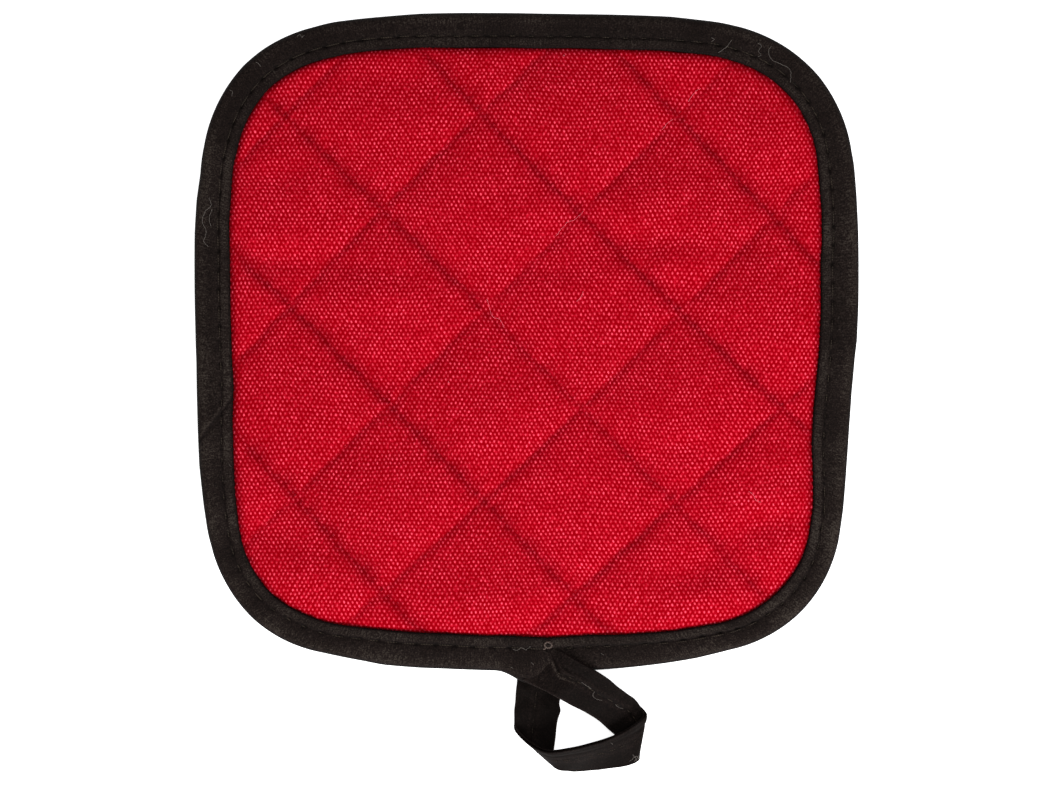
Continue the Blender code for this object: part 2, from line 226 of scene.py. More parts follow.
# Soft folds in the filled cloth: middle, direction, length, width and depth. A trough has a depth above
# zero, and a ridge one below it. All of them bow a little.
WRINKLE_BOW = 0.006
Wrinkle = namedtuple("Wrinkle", "x y degrees length width depth")
WRINKLES = (
    Wrinkle(-67.0, 21.5, -4.0, 24.0, 8.0, 1.40),
    Wrinkle(-40.0, 12.5, -8.0, 26.0, 9.0, -0.60),
    Wrinkle(-44.0, 20.5, -10.0, 24.0, 7.0, 0.50),
    Wrinkle(32.5, 27.5, 4.0, 32.0, 9.0, 1.05),
    Wrinkle(38.0, 38.5, -6.0, 40.0, 15.0, -0.30),
    Wrinkle(32.0, 19.5, 4.0, 22.0, 8.0, -0.45),
    Wrinkle(65.0, -50.0, 14.0, 26.0, 10.0, 1.60),
    Wrinkle(65.0, -60.0, 14.0, 18.0, 8.0, -0.35),
    Wrinkle(47.0, -61.5, 14.0, 28.0, 12.0, 1.50),
    Wrinkle(48.0, -70.5, 12.0, 20.0, 8.0, -0.30),
    Wrinkle(43.0, -29.0, 2.0, 20.0, 7.0, 0.45),
    Wrinkle(-37.0, -31.5, 4.0, 18.0, 6.0, 0.35),
    Wrinkle(-37.0, 70.0, 4.0, 26.0, 13.0, 1.30),
    Wrinkle(58.0, 66.0, -40.0, 18.0, 10.0, 0.60),
    Wrinkle(-65.0, -53.0, -6.0, 22.0, 12.0, 1.00),
    Wrinkle(-18.0, -63.0, 4.0, 26.0, 13.0, 0.55),
    Wrinkle(5.0, 19.5, -4.0, 20.0, 8.0, 0.50),
    Wrinkle(-66.0, 44.0, 8.0, 20.0, 12.0, 0.50),
    Wrinkle(16.0, 73.0, -8.0, 20.0, 10.0, 0.35),
)

# The tape's turned-under end lies over its start along a slanting line on the left side.
JOINT_OUTER = np.array((-89.4, -28.4))
JOINT_INNER = np.array((-79.6, -15.6))
JOINT_STEP = 0.22
JOINT_GROOVE = 0.38
JOINT_REACH = 0.42

# The tape bulges outwards where its tail turns off into the loop.
TAIL_BULGE_X = 2.0
TAIL_BULGE_HALF_WIDTH = 10.5
TAIL_BULGE_DEPTH = 3.8

# The loop's strap as crosswise lines from its folded edge P to its open edge Q, in the order it runs in.
Crossline = namedtuple("Crossline", "px py pz qx qy qz")
LOOP = (
    Crossline(-1.2, -92.3, 7.5, 5.3, -82.8, 7.5),
    Crossline(3.9, -94.4, 7.5, 9.9, -84.7, 7.6),
    Crossline(9.1, -97.3, 7.2, 15.4, -87.6, 7.7),
    Crossline(16.7, -101.4, 5.6, 22.4, -91.9, 6.2),
    Crossline(22.9, -106.3, 3.5, 26.9, -95.8, 4.1),
    Crossline(26.9, -110.3, 1.7, 29.4, -97.7, 2.1),
    Crossline(29.1, -113.0, 1.0, 31.2, -99.8, 1.1),
    Crossline(30.4, -114.2, 2.1, 32.4, -101.7, 2.3),
    Crossline(29.0, -115.2, 3.2, 31.1, -103.3, 3.6),
    Crossline(25.2, -116.1, 3.0, 28.3, -105.0, 5.9),
    Crossline(20.0, -117.0, 1.8, 23.2, -107.4, 7.0),
    Crossline(16.0, -117.3, 1.1, 17.8, -109.1, 8.2),
    Crossline(13.3, -117.4, 1.3, 12.4, -110.4, 8.5),
    Crossline(11.6, -117.2, 1.9, 7.5, -111.2, 7.7),
    Crossline(10.0, -117.1, 2.3, 4.0, -110.9, 6.2),
    Crossline(8.6, -116.6, 2.4, 0.2, -109.0, 4.0),
    Crossline(7.5, -115.7, 1.7, -2.8, -106.3, 1.9),
    Crossline(7.4, -113.5, 0.7, -3.3, -104.3, 0.7),
    Crossline(7.9, -109.1, 0.565, -3.4, -101.5, 0.565),
    Crossline(8.6, -103.8, 0.565, -3.1, -97.7, 0.565),
    Crossline(9.3, -101.2, 0.565, -2.9, -95.9, 0.565),
    Crossline(9.0, -99.3, 0.565, -2.78, -94.8, 0.565),
    Crossline(9.3, -96.9, 0.565, -2.6, -93.3, 0.565),
    Crossline(9.5, -90.1, 0.565, -2.3, -89.0, 0.565),
    Crossline(9.6, -85.2, 0.565, -2.0, -84.6, 0.565),
)

# The thread's curl beside the loop.
Place = namedtuple("Place", "x y z")
KNOT = Place(5.9, -82.5, 7.25)

# Loose fibres, each as a few places (x, y) that it passes over. They are drawn about three times as thick as
# real ones of 0.02 mm, or they would vanish between pixels.
LINT_RADIUS = 0.032
LINT_CURL = 0.14
LINT_LIFT = 0.09
TAPE_LINT = (
    ((66.4, 79.8), (65.6, 78.4), (66.4, 76.2), (68.9, 74.9), (71.1, 73.8), (71.6, 72.1), (71.6, 70.0)),
    ((62.6, 80.6), (63.7, 79.8), (62.9, 78.4), (63.5, 77.3), (62.8, 76.9)),
    ((55.6, 81.4), (54.2, 79.5), (52.0, 77.9)),
    ((50.1, 82.0), (51.0, 81.6), (50.2, 81.1)),
    ((-73.4, 75.4), (-72.6, 75.0), (-72.0, 74.2)),
    ((-80.4, 67.9), (-79.6, 67.2), (-79.9, 66.2)),
    ((-62.2, 82.4), (-61.4, 83.0), (-60.9, 82.2), (-60.2, 82.6)),
    ((-86.0, 38.7), (-85.5, 36.5), (-87.1, 34.9), (-87.9, 32.2), (-86.8, 29.5), (-87.4, 26.8), (-86.3, 25.4)),
    ((-85.2, 35.6), (-86.0, 33.0), (-85.4, 30.9)),
    ((-3.7, -83.6), (-2.6, -84.1), (-1.5, -83.3), (-0.1, -83.8), (1.0, -83.0)),
    ((1.2, -87.3), (1.9, -87.9)),
    ((-4.3, -88.6), (-3.6, -88.9)),
    ((20.2, -84.9), (21.0, -85.2)),
    ((-80.6, -33.6), (-80.0, -34.2)),
    ((28.1, -114.5), (29.8, -113.2), (30.8, -114.0)),
    ((28.9, -112.6), (29.8, -113.9), (30.3, -114.8)),
    ((29.4, -114.6), (30.6, -112.9)),
    ((22.8, -109.1), (23.3, -109.6)),
    ((18.5, -95.2), (18.0, -96.0), (18.4, -96.9), (19.3, -97.3), (20.4, -97.6)),
    ((14.9, -92.6), (16.4, -93.6), (17.5, -94.4)),
    ((24.2, -98.9), (25.1, -99.8), (26.2, -100.1)),
)
PAD_LINT = (
    ((-10.7, 11.3), (-9.4, 6.8), (-7.2, 5.6), (-6.1, 3.7)),
    ((15.4, 34.9), (12.9, 32.6), (11.0, 31.9), (8.0, 28.4)),
    ((15.4, 13.2), (14.6, 11.4), (13.5, 10.5)),
    ((43.9, 64.6), (44.8, 66.2), (46.0, 67.6), (47.2, 68.2)),
    ((36.6, 56.9), (37.6, 58.2), (38.6, 59.2), (39.8, 59.9)),
    ((60.2, -40.9), (61.4, -41.9), (62.2, -43.4), (63.5, -43.8)),
    ((-21.2, -11.1), (-20.9, -11.5)),
    ((-14.4, 22.6), (-14.1, 22.1)),
    ((10.1, 77.4), (10.3, 76.9)),
)


# Shapes shared by the pieces


def soft_field(places, wavelength, seed, waves=14):
    """A smooth, uneven field between about -1 and 1 with this typical wavelength, the same on every run."""
    rng = np.random.default_rng(seed)
    angles = rng.uniform(0, 2 * math.pi, waves)
    lengths = wavelength * rng.uniform(0.7, 1.6, waves)
    phases = rng.uniform(0, 2 * math.pi, waves)
    total = np.zeros(len(places))
    for angle, length, phase in zip(angles, lengths, phases):
        along = places[:, 0] * math.cos(angle) + places[:, 1] * math.sin(angle)
        total += np.cos(2 * math.pi * along / length + phase)
    return total / math.sqrt(waves)


def soft_line(along, wavelength, seed, waves=12):
    """The same along one line."""
    rng = np.random.default_rng(seed)
    total = np.zeros_like(along)
    for _ in range(waves):
        length = wavelength * rng.uniform(0.6, 1.8)
        total += np.cos(2 * math.pi * along / length + rng.uniform(0, 2 * math.pi))
    return total / math.sqrt(waves)


def side_centre(first, second):
    """Centre of the arc that joins two corner arcs smoothly, going anticlockwise."""
    start = np.array((first.x, first.y))
    span = np.array((second.x, second.y)) - start
    length = np.linalg.norm(span)
    along = span / length
    inwards = np.array((-along[1], along[0]))
    reach_first = first.side_radius - first.radius
    reach_second = first.side_radius - second.radius
    foot = (reach_first**2 - reach_second**2 + length**2) / (2 * length)
    return start + along * foot + inwards * math.sqrt(reach_first**2 - foot**2)


def rim_line(corners, steps, inset=0.0):
    """Closed outline of corner arcs and bowed sides, in millimetres, moved inwards by the inset."""
    centres = [side_centre(corner, corners[(i + 1) % 4]) for i, corner in enumerate(corners)]

    def angle_at(corner, side):
        return math.atan2(corner.y - centres[side][1], corner.x - centres[side][0])

    def arc(centre, radius, start, end):
        angles = start + (end - start) % (2 * math.pi) * np.arange(steps) / steps
        return np.array(centre) + radius * np.column_stack((np.cos(angles), np.sin(angles)))

    pieces = []
    for i, corner in enumerate(corners):
        middle = (corner.x, corner.y)
        leaving = angle_at(corner, i)
        arriving = angle_at(corners[(i + 1) % 4], i)
        pieces.append(arc(middle, corner.radius - inset, angle_at(corner, i - 1), leaving))
        pieces.append(arc(centres[i], corner.side_radius - inset, leaving, arriving))
    return np.concatenate(pieces)


def wandered(line, wander):
    """The closed line moved outwards from the pad's middle by the table of wanderings."""
    directions = np.degrees(np.arctan2(line[:, 1], line[:, 0])) % 360
    shifts = np.interp(directions, *zip(*wander), period=360)
    return line * (1.0 + shifts / np.linalg.norm(line, axis=1))[:, None]


def nearest_on(points, edge):
    """(depth inside the closed outline, nearest point on it) for each point."""
    depths = np.empty(len(points))
    feet = np.empty((len(points), 2))
    step = np.roll(edge, -1, axis=0) - edge
    size = (step**2).sum(1)
    for start in range(0, len(points), 4000):
        part = points[start : start + 4000]
        reach = part[:, None, :] - edge[None, :, :]
        share = np.clip((reach * step).sum(2) / size, 0.0, 1.0)
        away = reach - share[..., None] * step
        gap = (away**2).sum(2)
        nearest = gap.argmin(axis=1)
        rows = np.arange(len(part))
        turn = step[nearest, 0] * reach[rows, nearest, 1] - step[nearest, 1] * reach[rows, nearest, 0]
        depths[start : start + 4000] = np.sqrt(gap[rows, nearest]) * np.where(turn > 0, 1.0, -1.0)
        feet[start : start + 4000] = part - away[rows, nearest]
    return depths, feet


def seam_position(seam, along):
    """How far across the seam lies at places along it."""
    share = along / SEAM_REACH
    return seam.offset + seam.slant * share + seam.bow * share**2


def sewn_position(seam, along, seed):
    """The same for its sewn line, which wanders by a hair."""
    return seam_position(seam, along) + SEAM_WANDER * soft_line(along, SEAM_WANDER_LENGTH, seed)


def crossing(falling, rising):
    """Where falling and rising lines cross, as arrays of places from the pad's middle."""
    across_falling = np.asarray(falling.offset, float)
    across_rising = np.asarray(rising.offset, float)
    for _ in range(8):
        across_falling = seam_position(falling, across_rising)
        across_rising = seam_position(rising, across_falling)
    return np.stack((across_falling + across_rising, across_falling - across_rising), -1) / math.sqrt(2)


def mesh_piece(name, points_mm, faces, material):
    """A smooth mesh object at the origin from points in millimetres from the pad's middle."""
    mesh = bpy.data.meshes.new(name)
    mesh.from_pydata((np.asarray(points_mm) * MM + PAD_MIDDLE).tolist(), [], faces)
    mesh.materials.append(material)
    mesh.shade_smooth()
    obj = bpy.data.objects.new(name, mesh)
    bpy.context.scene.collection.objects.link(obj)
    return obj


def face_outwards(obj):
    """Turns every face of a closed mesh outwards, its map and painted values included."""
    shape = bmesh.new()
    shape.from_mesh(obj.data)
    bmesh.ops.recalc_face_normals(shape, faces=shape.faces)
    shape.to_mesh(obj.data)
    shape.free()


def paint_points(obj, name, values):
    """A number at every point of the mesh, for its material to read."""
    layer = obj.data.attributes.new(name, "FLOAT", "POINT")
    layer.data.foreach_set("value", np.asarray(values, np.float32))


# Materials


# Settings that many nodes share.
MULTIPLY = {"operation": "MULTIPLY"}
ADD = {"operation": "ADD"}
SUBTRACT = {"operation": "SUBTRACT"}
DIVIDE = {"operation": "DIVIDE"}
MULTIPLY_ADD = {"operation": "MULTIPLY_ADD"}
SQUARE_ROOT = {"operation": "SQRT"}
SOFT_ENDS = {"interpolation_type": "SMOOTHSTEP"}
OF_COLOURS = {"data_type": "RGBA"}


def linear(hex_colour):
    """An sRGB hex colour as the linear values that shaders take."""
    parts = [int(hex_colour[i : i + 2], 16) / 255 for i in (1, 3, 5)]
    return (*[p / 12.92 if p <= 0.04045 else ((p + 0.055) / 1.055) ** 2.4 for p in parts], 1.0)


def add_node(tree, kind, settings=(), **inputs):
    """Adds a node. Settings are its properties. Inputs go by name or place, such as Scale or i0.

    An input is a value, a socket, or a node, which stands for its own first output.
    """
    made = tree.nodes.new(kind)
    for key, value in dict(settings).items():
        setattr(made, key, value)
    for key, value in inputs.items():
        numbered = key[0] == "i" and key[1:].isdigit()
        socket = made.inputs[int(key[1:]) if numbered else key.replace("_", " ")]
        if isinstance(value, bpy.types.Node):
            value = value.outputs[0]
        if isinstance(value, bpy.types.NodeSocket):
            tree.links.new(value, socket)
        else:
            socket.default_value = value
    return made


def new_material(name):
    """(material, its tree, its shader, the socket with places on the piece) of a new material."""
    material = bpy.data.materials.new(name)
    material.use_nodes = True
    tree = material.node_tree
    place = add_node(tree, "ShaderNodeTexCoord").outputs["Object"]
    return material, tree, tree.nodes["Principled BSDF"], place


def dress(tree, shader, colour, roughness, shine, relief=None, strength=0.4, depth=0.0):
    """Gives the shader its colour, dullness and shine, and its fine relief in millimetres."""
    tree.links.new(colour, shader.inputs["Base Color"])
    shader.inputs["Roughness"].default_value = roughness
    shader.inputs["Specular IOR Level"].default_value = shine
    if relief:
        bump = add_node(tree, "ShaderNodeBump", Strength=strength, Distance=depth * MM, Height=relief)
        tree.links.new(bump.outputs[0], shader.inputs["Normal"])


def layered(tree, ground, layers):
    """The ground colour under layers of (how much of it shows, colour), each laid over those before it."""
    colour = linear(ground)
    for share, tone in layers:
        colour = add_node(tree, "ShaderNodeMix", OF_COLOURS, i0=share, i6=colour, i7=linear(tone)).outputs[2]
    return colour


def scaled(tree, tone, causes):
    """The tone times each cause, as rows of (cause, its low and high value, the factor at each of them)."""
    for cause, low, high, at_low, at_high in causes:
        factor = add_node(tree, "ShaderNodeMapRange", i0=cause, i1=low, i2=high, i3=at_low, i4=at_high)
        tone = add_node(tree, "ShaderNodeMath", MULTIPLY, i0=tone, i1=factor)
    return tone


def red_canvas():
    """Dyed cotton canvas in plain weave: rows of bright thread crowns with dark gaps, and no shine."""
    material, tree, shader, place = new_material("red_cotton_canvas_plain_weave")
    # Threads wander: a slow drift of the whole weave, and a quick one from thread to thread.
    shifted = place
    for scale, reach in ((30.0, 3.0 * MM), (380.0, 0.5 * MM)):
        drift = add_node(tree, "ShaderNodeTexNoise", Vector=place, Scale=scale, Detail=1.0).outputs["Color"]
        shifted = add_node(tree, "ShaderNodeVectorMath", MULTIPLY_ADD, i0=drift, i1=(reach,) * 3, i2=shifted)
    split = add_node(tree, "ShaderNodeSeparateXYZ", Vector=shifted)
    # Every other row is shifted by half a pitch, so the crowns are the cells of a slanted grid.
    across = add_node(tree, "ShaderNodeMath", DIVIDE, i0=split.outputs[0], i1=CROWN_PITCH * MM)
    along = add_node(tree, "ShaderNodeMath", DIVIDE, i0=split.outputs[1], i1=2 * ROW_PITCH * MM)
    cells = []
    offs = []
    for way in (ADD, SUBTRACT):
        slanted = add_node(tree, "ShaderNodeMath", way, i0=across, i1=along)
        cells.append(add_node(tree, "ShaderNodeMath", {"operation": "ROUND"}, i0=slanted))
        offs.append(add_node(tree, "ShaderNodeMath", SUBTRACT, i0=slanted, i1=cells[-1]))
    cell = add_node(tree, "ShaderNodeCombineXYZ", X=cells[0], Y=cells[1])
    chance = add_node(tree, "ShaderNodeTexWhiteNoise", {"noise_dimensions": "3D"}, Vector=cell)
    tint = add_node(tree, "ShaderNodeSeparateColor", Color=chance.outputs["Color"])
    # Each crown is a small dome, a little out of its place and of its own size and brightness.
    out_of_place = []
    for way, chosen, spread in ((ADD, tint.outputs[0], 0.24), (SUBTRACT, tint.outputs[1], 0.20)):
        centred = add_node(tree, "ShaderNodeMath", way, i0=offs[0], i1=offs[1])
        own = add_node(tree, "ShaderNodeMath", MULTIPLY_ADD, i0=chosen, i1=spread, i2=-spread / 2)
        out_of_place.append(add_node(tree, "ShaderNodeMath", ADD, i0=centred, i1=own))
    side, length = out_of_place
    twist = add_node(tree, "ShaderNodeTexNoise", Vector=place, Scale=60.0, Detail=1.0)
    lean = add_node(tree, "ShaderNodeMapRange", i0=twist, i1=0.3, i2=0.7, i3=-0.10, i4=0.40)
    side = add_node(tree, "ShaderNodeMath", MULTIPLY_ADD, i0=length, i1=lean, i2=side)
    squares = []
    for off, half in ((side, 0.50), (length, 0.41)):
        share = add_node(tree, "ShaderNodeMath", DIVIDE, i0=off, i1=half)
        squares.append(add_node(tree, "ShaderNodeMath", MULTIPLY, i0=share, i1=share))
    total = add_node(tree, "ShaderNodeMath", ADD, i0=squares[0], i1=squares[1])
    from_crown = add_node(tree, "ShaderNodeMath", SQUARE_ROOT, i0=total)
    dome = add_node(tree, "ShaderNodeMapRange", SOFT_ENDS, i0=from_crown, i1=1.10, i2=0.15)
    gap = add_node(tree, "ShaderNodeMapRange", SOFT_ENDS, i0=from_crown, i1=0.85, i2=1.40)
    gap = add_node(tree, "ShaderNodeMath", MULTIPLY, i0=gap, i1=0.8)

    fibres = add_node(tree, "ShaderNodeTexNoise", Vector=place, Scale=1300.0)
    slub = add_node(tree, "ShaderNodeTexNoise", Vector=place, Scale=150.0, Detail=3.0)
    patch = add_node(tree, "ShaderNodeTexNoise", Vector=place, Scale=26.0, Detail=3.0)
    own = (tint.outputs[2], 0.0, 1.0, 0.30, 1.05)
    uneven = (own, (fibres, 0.3, 0.7, 0.65, 1.25), (slub, 0.30, 0.72, 0.55, 1.20))
    lit = scaled(tree, dome, uneven)
    lit.use_clamp = True
    patch = add_node(tree, "ShaderNodeMapRange", SOFT_ENDS, i0=patch, i1=0.35, i2=0.65)
    fuzz = add_node(tree, "ShaderNodeMapRange", SOFT_ENDS, i0=fibres, i1=0.46, i2=0.80, i4=0.55)
    # Painted shade: a sewn line and the cloth by the tape's edge are drawn darker and deeper red, as little
    # light reaches them and what does is red from the sides.
    painted_groove_shade = add_node(tree, "ShaderNodeAttribute", {"attribute_name": "painted_groove_shade"}).outputs["Fac"]
    groove_shade = add_node(tree, "ShaderNodeMapRange", i0=painted_groove_shade, i4=0.85)
    layers = ((patch, "#A20012"), (gap, "#840008"), (fuzz, "#C8142C"), (lit, "#FF566E"), (groove_shade, "#4A0004"))
    relief = add_node(tree, "ShaderNodeMath", MULTIPLY_ADD, i0=fibres, i1=0.25, i2=dome)
    dress(tree, shader, layered(tree, "#98000E", layers), 0.9, 0.0, relief, strength=0.5, depth=0.16)
    return material


def black_tape():
    """Black cotton tape in fine plain weave: a warm near-black, drawn greyer where light is painted on, and
    no shine.
    """
    material, tree, shader, place = new_material("black_cotton_bias_tape")
    # The map is in millimetres. Crosswise ribs are drawn about 0.5 mm apart, coarser than the real threads,
    # so that they show.
    uv = add_node(tree, "ShaderNodeUVMap", {"uv_map": "tape_run"})
    split = add_node(tree, "ShaderNodeSeparateXYZ", Vector=uv)
    run = add_node(tree, "ShaderNodeMath", MULTIPLY, i0=split.outputs[0], i1=2.4)
    width = add_node(tree, "ShaderNodeMath", MULTIPLY, i0=split.outputs[1], i1=0.45)
    stretched = add_node(tree, "ShaderNodeCombineXYZ", X=run, Y=width)
    ribs = add_node(tree, "ShaderNodeTexNoise", Vector=stretched, Scale=1.0, Roughness=0.6)
    fine = add_node(tree, "ShaderNodeTexNoise", Vector=place, Scale=2700.0, Roughness=0.6)
    dust = add_node(tree, "ShaderNodeTexNoise", Vector=place, Scale=900.0, Detail=4.0, Roughness=0.7)
    worn = add_node(tree, "ShaderNodeTexNoise", Vector=place, Scale=60.0, Detail=3.0)
    # Painted light: grey painted highlights on the tape's lip, panel and folded edges, and painted shade in
    # the stitched line and turned edges.
    painted_light = add_node(tree, "ShaderNodeAttribute", {"attribute_name": "painted_light"}).outputs["Fac"]
    uneven = ((worn, 0.3, 0.7, 0.75, 1.2), (ribs, 0.3, 0.7, 0.45, 1.55), (fine, 0.34, 0.66, 0.50, 1.50))
    speckle = add_node(tree, "ShaderNodeMapRange", i0=fine, i1=0.34, i2=0.66, i3=-0.14, i4=0.20)
    painted_light = add_node(tree, "ShaderNodeMath", ADD, i0=scaled(tree, painted_light, uneven), i1=speckle)
    grey = add_node(tree, "ShaderNodeMapRange", i0=painted_light, i2=0.5)
    pale = add_node(tree, "ShaderNodeMapRange", i0=painted_light, i1=0.5, i2=1.1)
    # Dust specks show only where the painted light is high.
    spots = add_node(tree, "ShaderNodeMapRange", SOFT_ENDS, i0=dust, i1=0.60, i2=0.78)
    dust_where_lighter = add_node(tree, "ShaderNodeMapRange", SOFT_ENDS, i0=painted_light, i1=0.05, i2=0.40, i4=0.5)
    dusty = add_node(tree, "ShaderNodeMath", MULTIPLY, i0=spots, i1=dust_where_lighter)
    colour = layered(tree, "#080504", ((grey, "#1A1311"), (pale, "#342E29"), (dusty, "#4C4540")))
    relief = add_node(tree, "ShaderNodeMath", ADD, i0=ribs, i1=fine)
    dress(tree, shader, colour, 0.7, 0.04, relief, depth=0.08)
    return material


def sewing_thread(name, low, high, dullness):
    """Spun polyester sewing thread: two plies twisted together, which show as fine slanting bands."""
    material, tree, shader, place = new_material(name)
    bands = {"bands_direction": "DIAGONAL"}
    wave = add_node(tree, "ShaderNodeTexWave", bands, Vector=place, Scale=900.0, Distortion=1.0)
    plies = wave.outputs["Fac"]
    fibres = add_node(tree, "ShaderNodeTexNoise", Vector=place, Scale=700.0)
    tone = scaled(tree, plies, ((fibres, 0.3, 0.7, 0.5, 1.0),))
    dress(tree, shader, layered(tree, low, ((tone, high),)), dullness, 0.04, plies, depth=0.05)
    return material


def lint_fibre(name, low, high):
    """Loose cotton fibre: pale, thin and dull."""
    material, tree, shader, place = new_material(name)
    tone = add_node(tree, "ShaderNodeTexNoise", Vector=place, Scale=500.0)
    dress(tree, shader, layered(tree, low, ((tone, high),)), 0.9, 0.1)
    return material


def light_table():
    """Matt white acrylic of a lit table, which leaves no shadow in the picture."""
    material, tree, shader, place = new_material("white_acrylic_light_table")
    tone = add_node(tree, "ShaderNodeTexNoise", Vector=place, Scale=3.0)
    dress(tree, shader, layered(tree, "#FAFAFA", ((tone, "#FFFFFF"),)), 0.95, 0.05)
    shader.inputs["Emission Color"].default_value = (1.0, 1.0, 1.0, 1.0)
    shader.inputs["Emission Strength"].default_value = 0.8
    return material


# The quilted pad


def grid_lines(seams, steps=40, reach=114.0):
    """Grid lines along the seams, closer together beside each seam."""
    edges = np.array([Seam(-reach, 0.0, 0.0), *seams, Seam(reach, 0.0, 0.0)])
    even = np.arange(steps) / steps
    shares = even - 0.08 * np.sin(2 * math.pi * even)
    lines = [first + (second - first) * share for first, second in zip(edges, edges[1:]) for share in shares]
    return np.array([*lines, edges[-1]])


def beside_seams(seams, across, along, seed):
    """(distance to the nearest sewn line, which seam it is) for each place."""
    lines = [sewn_position(seam, along, seed + i) for i, seam in enumerate(seams)]
    distances = np.abs(across - np.array(lines))
    return distances.min(axis=0), distances.argmin(axis=0)


def soft_rise(distance, reach, power):
    """From 0 at the start to 1 at the reach, steep at first and then level."""
    return 1.0 - (1.0 - np.clip(distance / reach, 0.0, 1.0)) ** power


def thread_pull(which, along, pulls):
    """How hard the thread of the nearest seam pulls at each place."""
    pull = np.zeros(len(along))
    for seam, row in enumerate(pulls):
        places, values = zip(*row)
        here = which == seam
        pull[here] = np.interp(along[here], places, values)
    return pull


def stitch_line(distance, along, pull, reach):
    """Painted shade beside a sewn line, for how little light reaches each place: most at the needle holes of
    a tight seam.
    """
    beads = 0.86 + 0.14 * np.cos(2 * math.pi * along / QUILTING.pitch)
    uneven = 1.0 + 0.25 * soft_line(along, 9.0, 90)
    return SEAM_SHADE * pull * beads * uneven * np.exp(-((distance / reach) ** 2))


def crease(distance, along, pull):
    """Depth of the sewn crease beside a seam: steep sides, and a furrow that each needle hole deepens."""
    holes = 1.0 + NEEDLE_HOLE_SHARE * np.cos(2 * math.pi * along / QUILTING.pitch)
    furrow = FURROW_DEPTH * np.exp(-((distance / FURROW_REACH) ** 2)) * holes
    rounded = np.sqrt(distance**2 + CREASE_ROUNDING**2) - CREASE_ROUNDING
    return pull * (CREASE_DEPTH * np.exp(-rounded / CREASE_REACH) + furrow)


def puckers(distance, along, which, seed):
    """Small ripples that the stitching draws in square to a seam, gone a few millimetres away from it."""
    ripple = np.zeros_like(distance)
    for seam in range(which.max() + 1):
        here = which == seam
        ripple[here] = soft_line(along[here], PUCKER_LENGTH, seed + seam)
    beside = np.exp(-distance / PUCKER_REACH) * (1.0 - np.exp(-distance / PUCKER_START))
    return PUCKER_HEIGHT * ripple * beside


def wrinkle_depth(places):
    """Depth of the listed folds: above zero in a trough, and below it on a ridge."""
    total = np.zeros(len(places))
    for wrinkle in WRINKLES:
        turn = math.radians(wrinkle.degrees)
        offset = places - (wrinkle.x, wrinkle.y)
        along = offset[:, 0] * math.cos(turn) + offset[:, 1] * math.sin(turn)
        across = -offset[:, 0] * math.sin(turn) + offset[:, 1] * math.cos(turn)
        across = across + WRINKLE_BOW * along**2
        reach = np.exp(-((along / (wrinkle.length / 2)) ** 2))
        share = across / (wrinkle.width / 2)
        total += wrinkle.depth * reach * np.exp(-(share**2))
    return total


def half_thickness(places, depth, side):
    """(half the pad's thickness, painted shade for how little light reaches the place) for each place.

    The depth is how far in from the tape each place lies. The side is 1 for the face and -1 for the back.
    """
    across_falling = (places[:, 0] + places[:, 1]) / math.sqrt(2)
    across_rising = (places[:, 0] - places[:, 1]) / math.sqrt(2)
    to_falling, falling = beside_seams(FALLING_SEAMS, across_falling, across_rising, FALLING_SEED)
    to_rising, rising = beside_seams(RISING_SEAMS, across_rising, across_falling, RISING_SEED)
    from_seams = np.minimum(to_falling, to_rising)

    seed = 20 if side > 0 else 60
    crown = soft_rise(to_falling, HALF_SQUARE, CROWN_POWER) * soft_rise(to_rising, HALF_SQUARE, CROWN_POWER)
    fullness = 1.0 + PUFF_SPREAD * soft_field(places, PUFF_LENGTH, seed)
    height = CROWN_START_HALF + (PUFF_HALF - CROWN_START_HALF) * crown * fullness
    height += puckers(to_falling, across_rising, falling, seed + 1)
    height += puckers(to_rising, across_falling, rising, seed + 11)
    height += LUMP_HEIGHT * soft_field(places, LUMP_LENGTH, seed + 30) * np.clip(from_seams / 5.0, 0, 1)
    folds = wrinkle_depth(places) if side > 0 else UNDERSIDE_FOLD_SHARE * wrinkle_depth(places * (-1.0, 1.0))
    height -= folds * (1.0 - np.exp(-from_seams / 2.5))

    falling_pull = thread_pull(falling, across_rising, FALLING_PULL)
    rising_pull = thread_pull(rising, across_falling, RISING_PULL)
    falling_crease = crease(to_falling, across_rising, falling_pull)
    rising_crease = crease(to_rising, across_falling, rising_pull)
    creases = np.maximum(falling_crease, rising_crease) + 0.2 * np.minimum(falling_crease, rising_crease)
    creases *= soft_rise(depth, CREASE_FROM_RIM, CREASE_RIM_POWER)

    # The cloth steps up out of the tape's lip and then rises slowly, and under the tape it is flat.
    inside = np.clip(depth, 0.0, None)
    step = RIM_STEP_SHARE * (1.0 - np.exp(-inside / RIM_STEP_REACH))
    rise = step + (1.0 - RIM_STEP_SHARE) * soft_rise(depth, RIM_RISE, RIM_RISE_POWER)
    half = np.maximum(RIM_HALF + (height - RIM_HALF) * rise - creases, RIM_HALF)

    # Painted shade along the sewn lines and beside the tape's lip, for the cloth's colour.
    in_falling = stitch_line(to_falling, across_rising, falling_pull, FALLING_SHADE_REACH)
    in_rising = stitch_line(to_rising, across_falling, rising_pull, RISING_SHADE_REACH)
    by_the_tape = np.exp(-inside / RIM_SHADE_REACH)
    return half, np.maximum(np.maximum(in_falling, in_rising), by_the_tape)


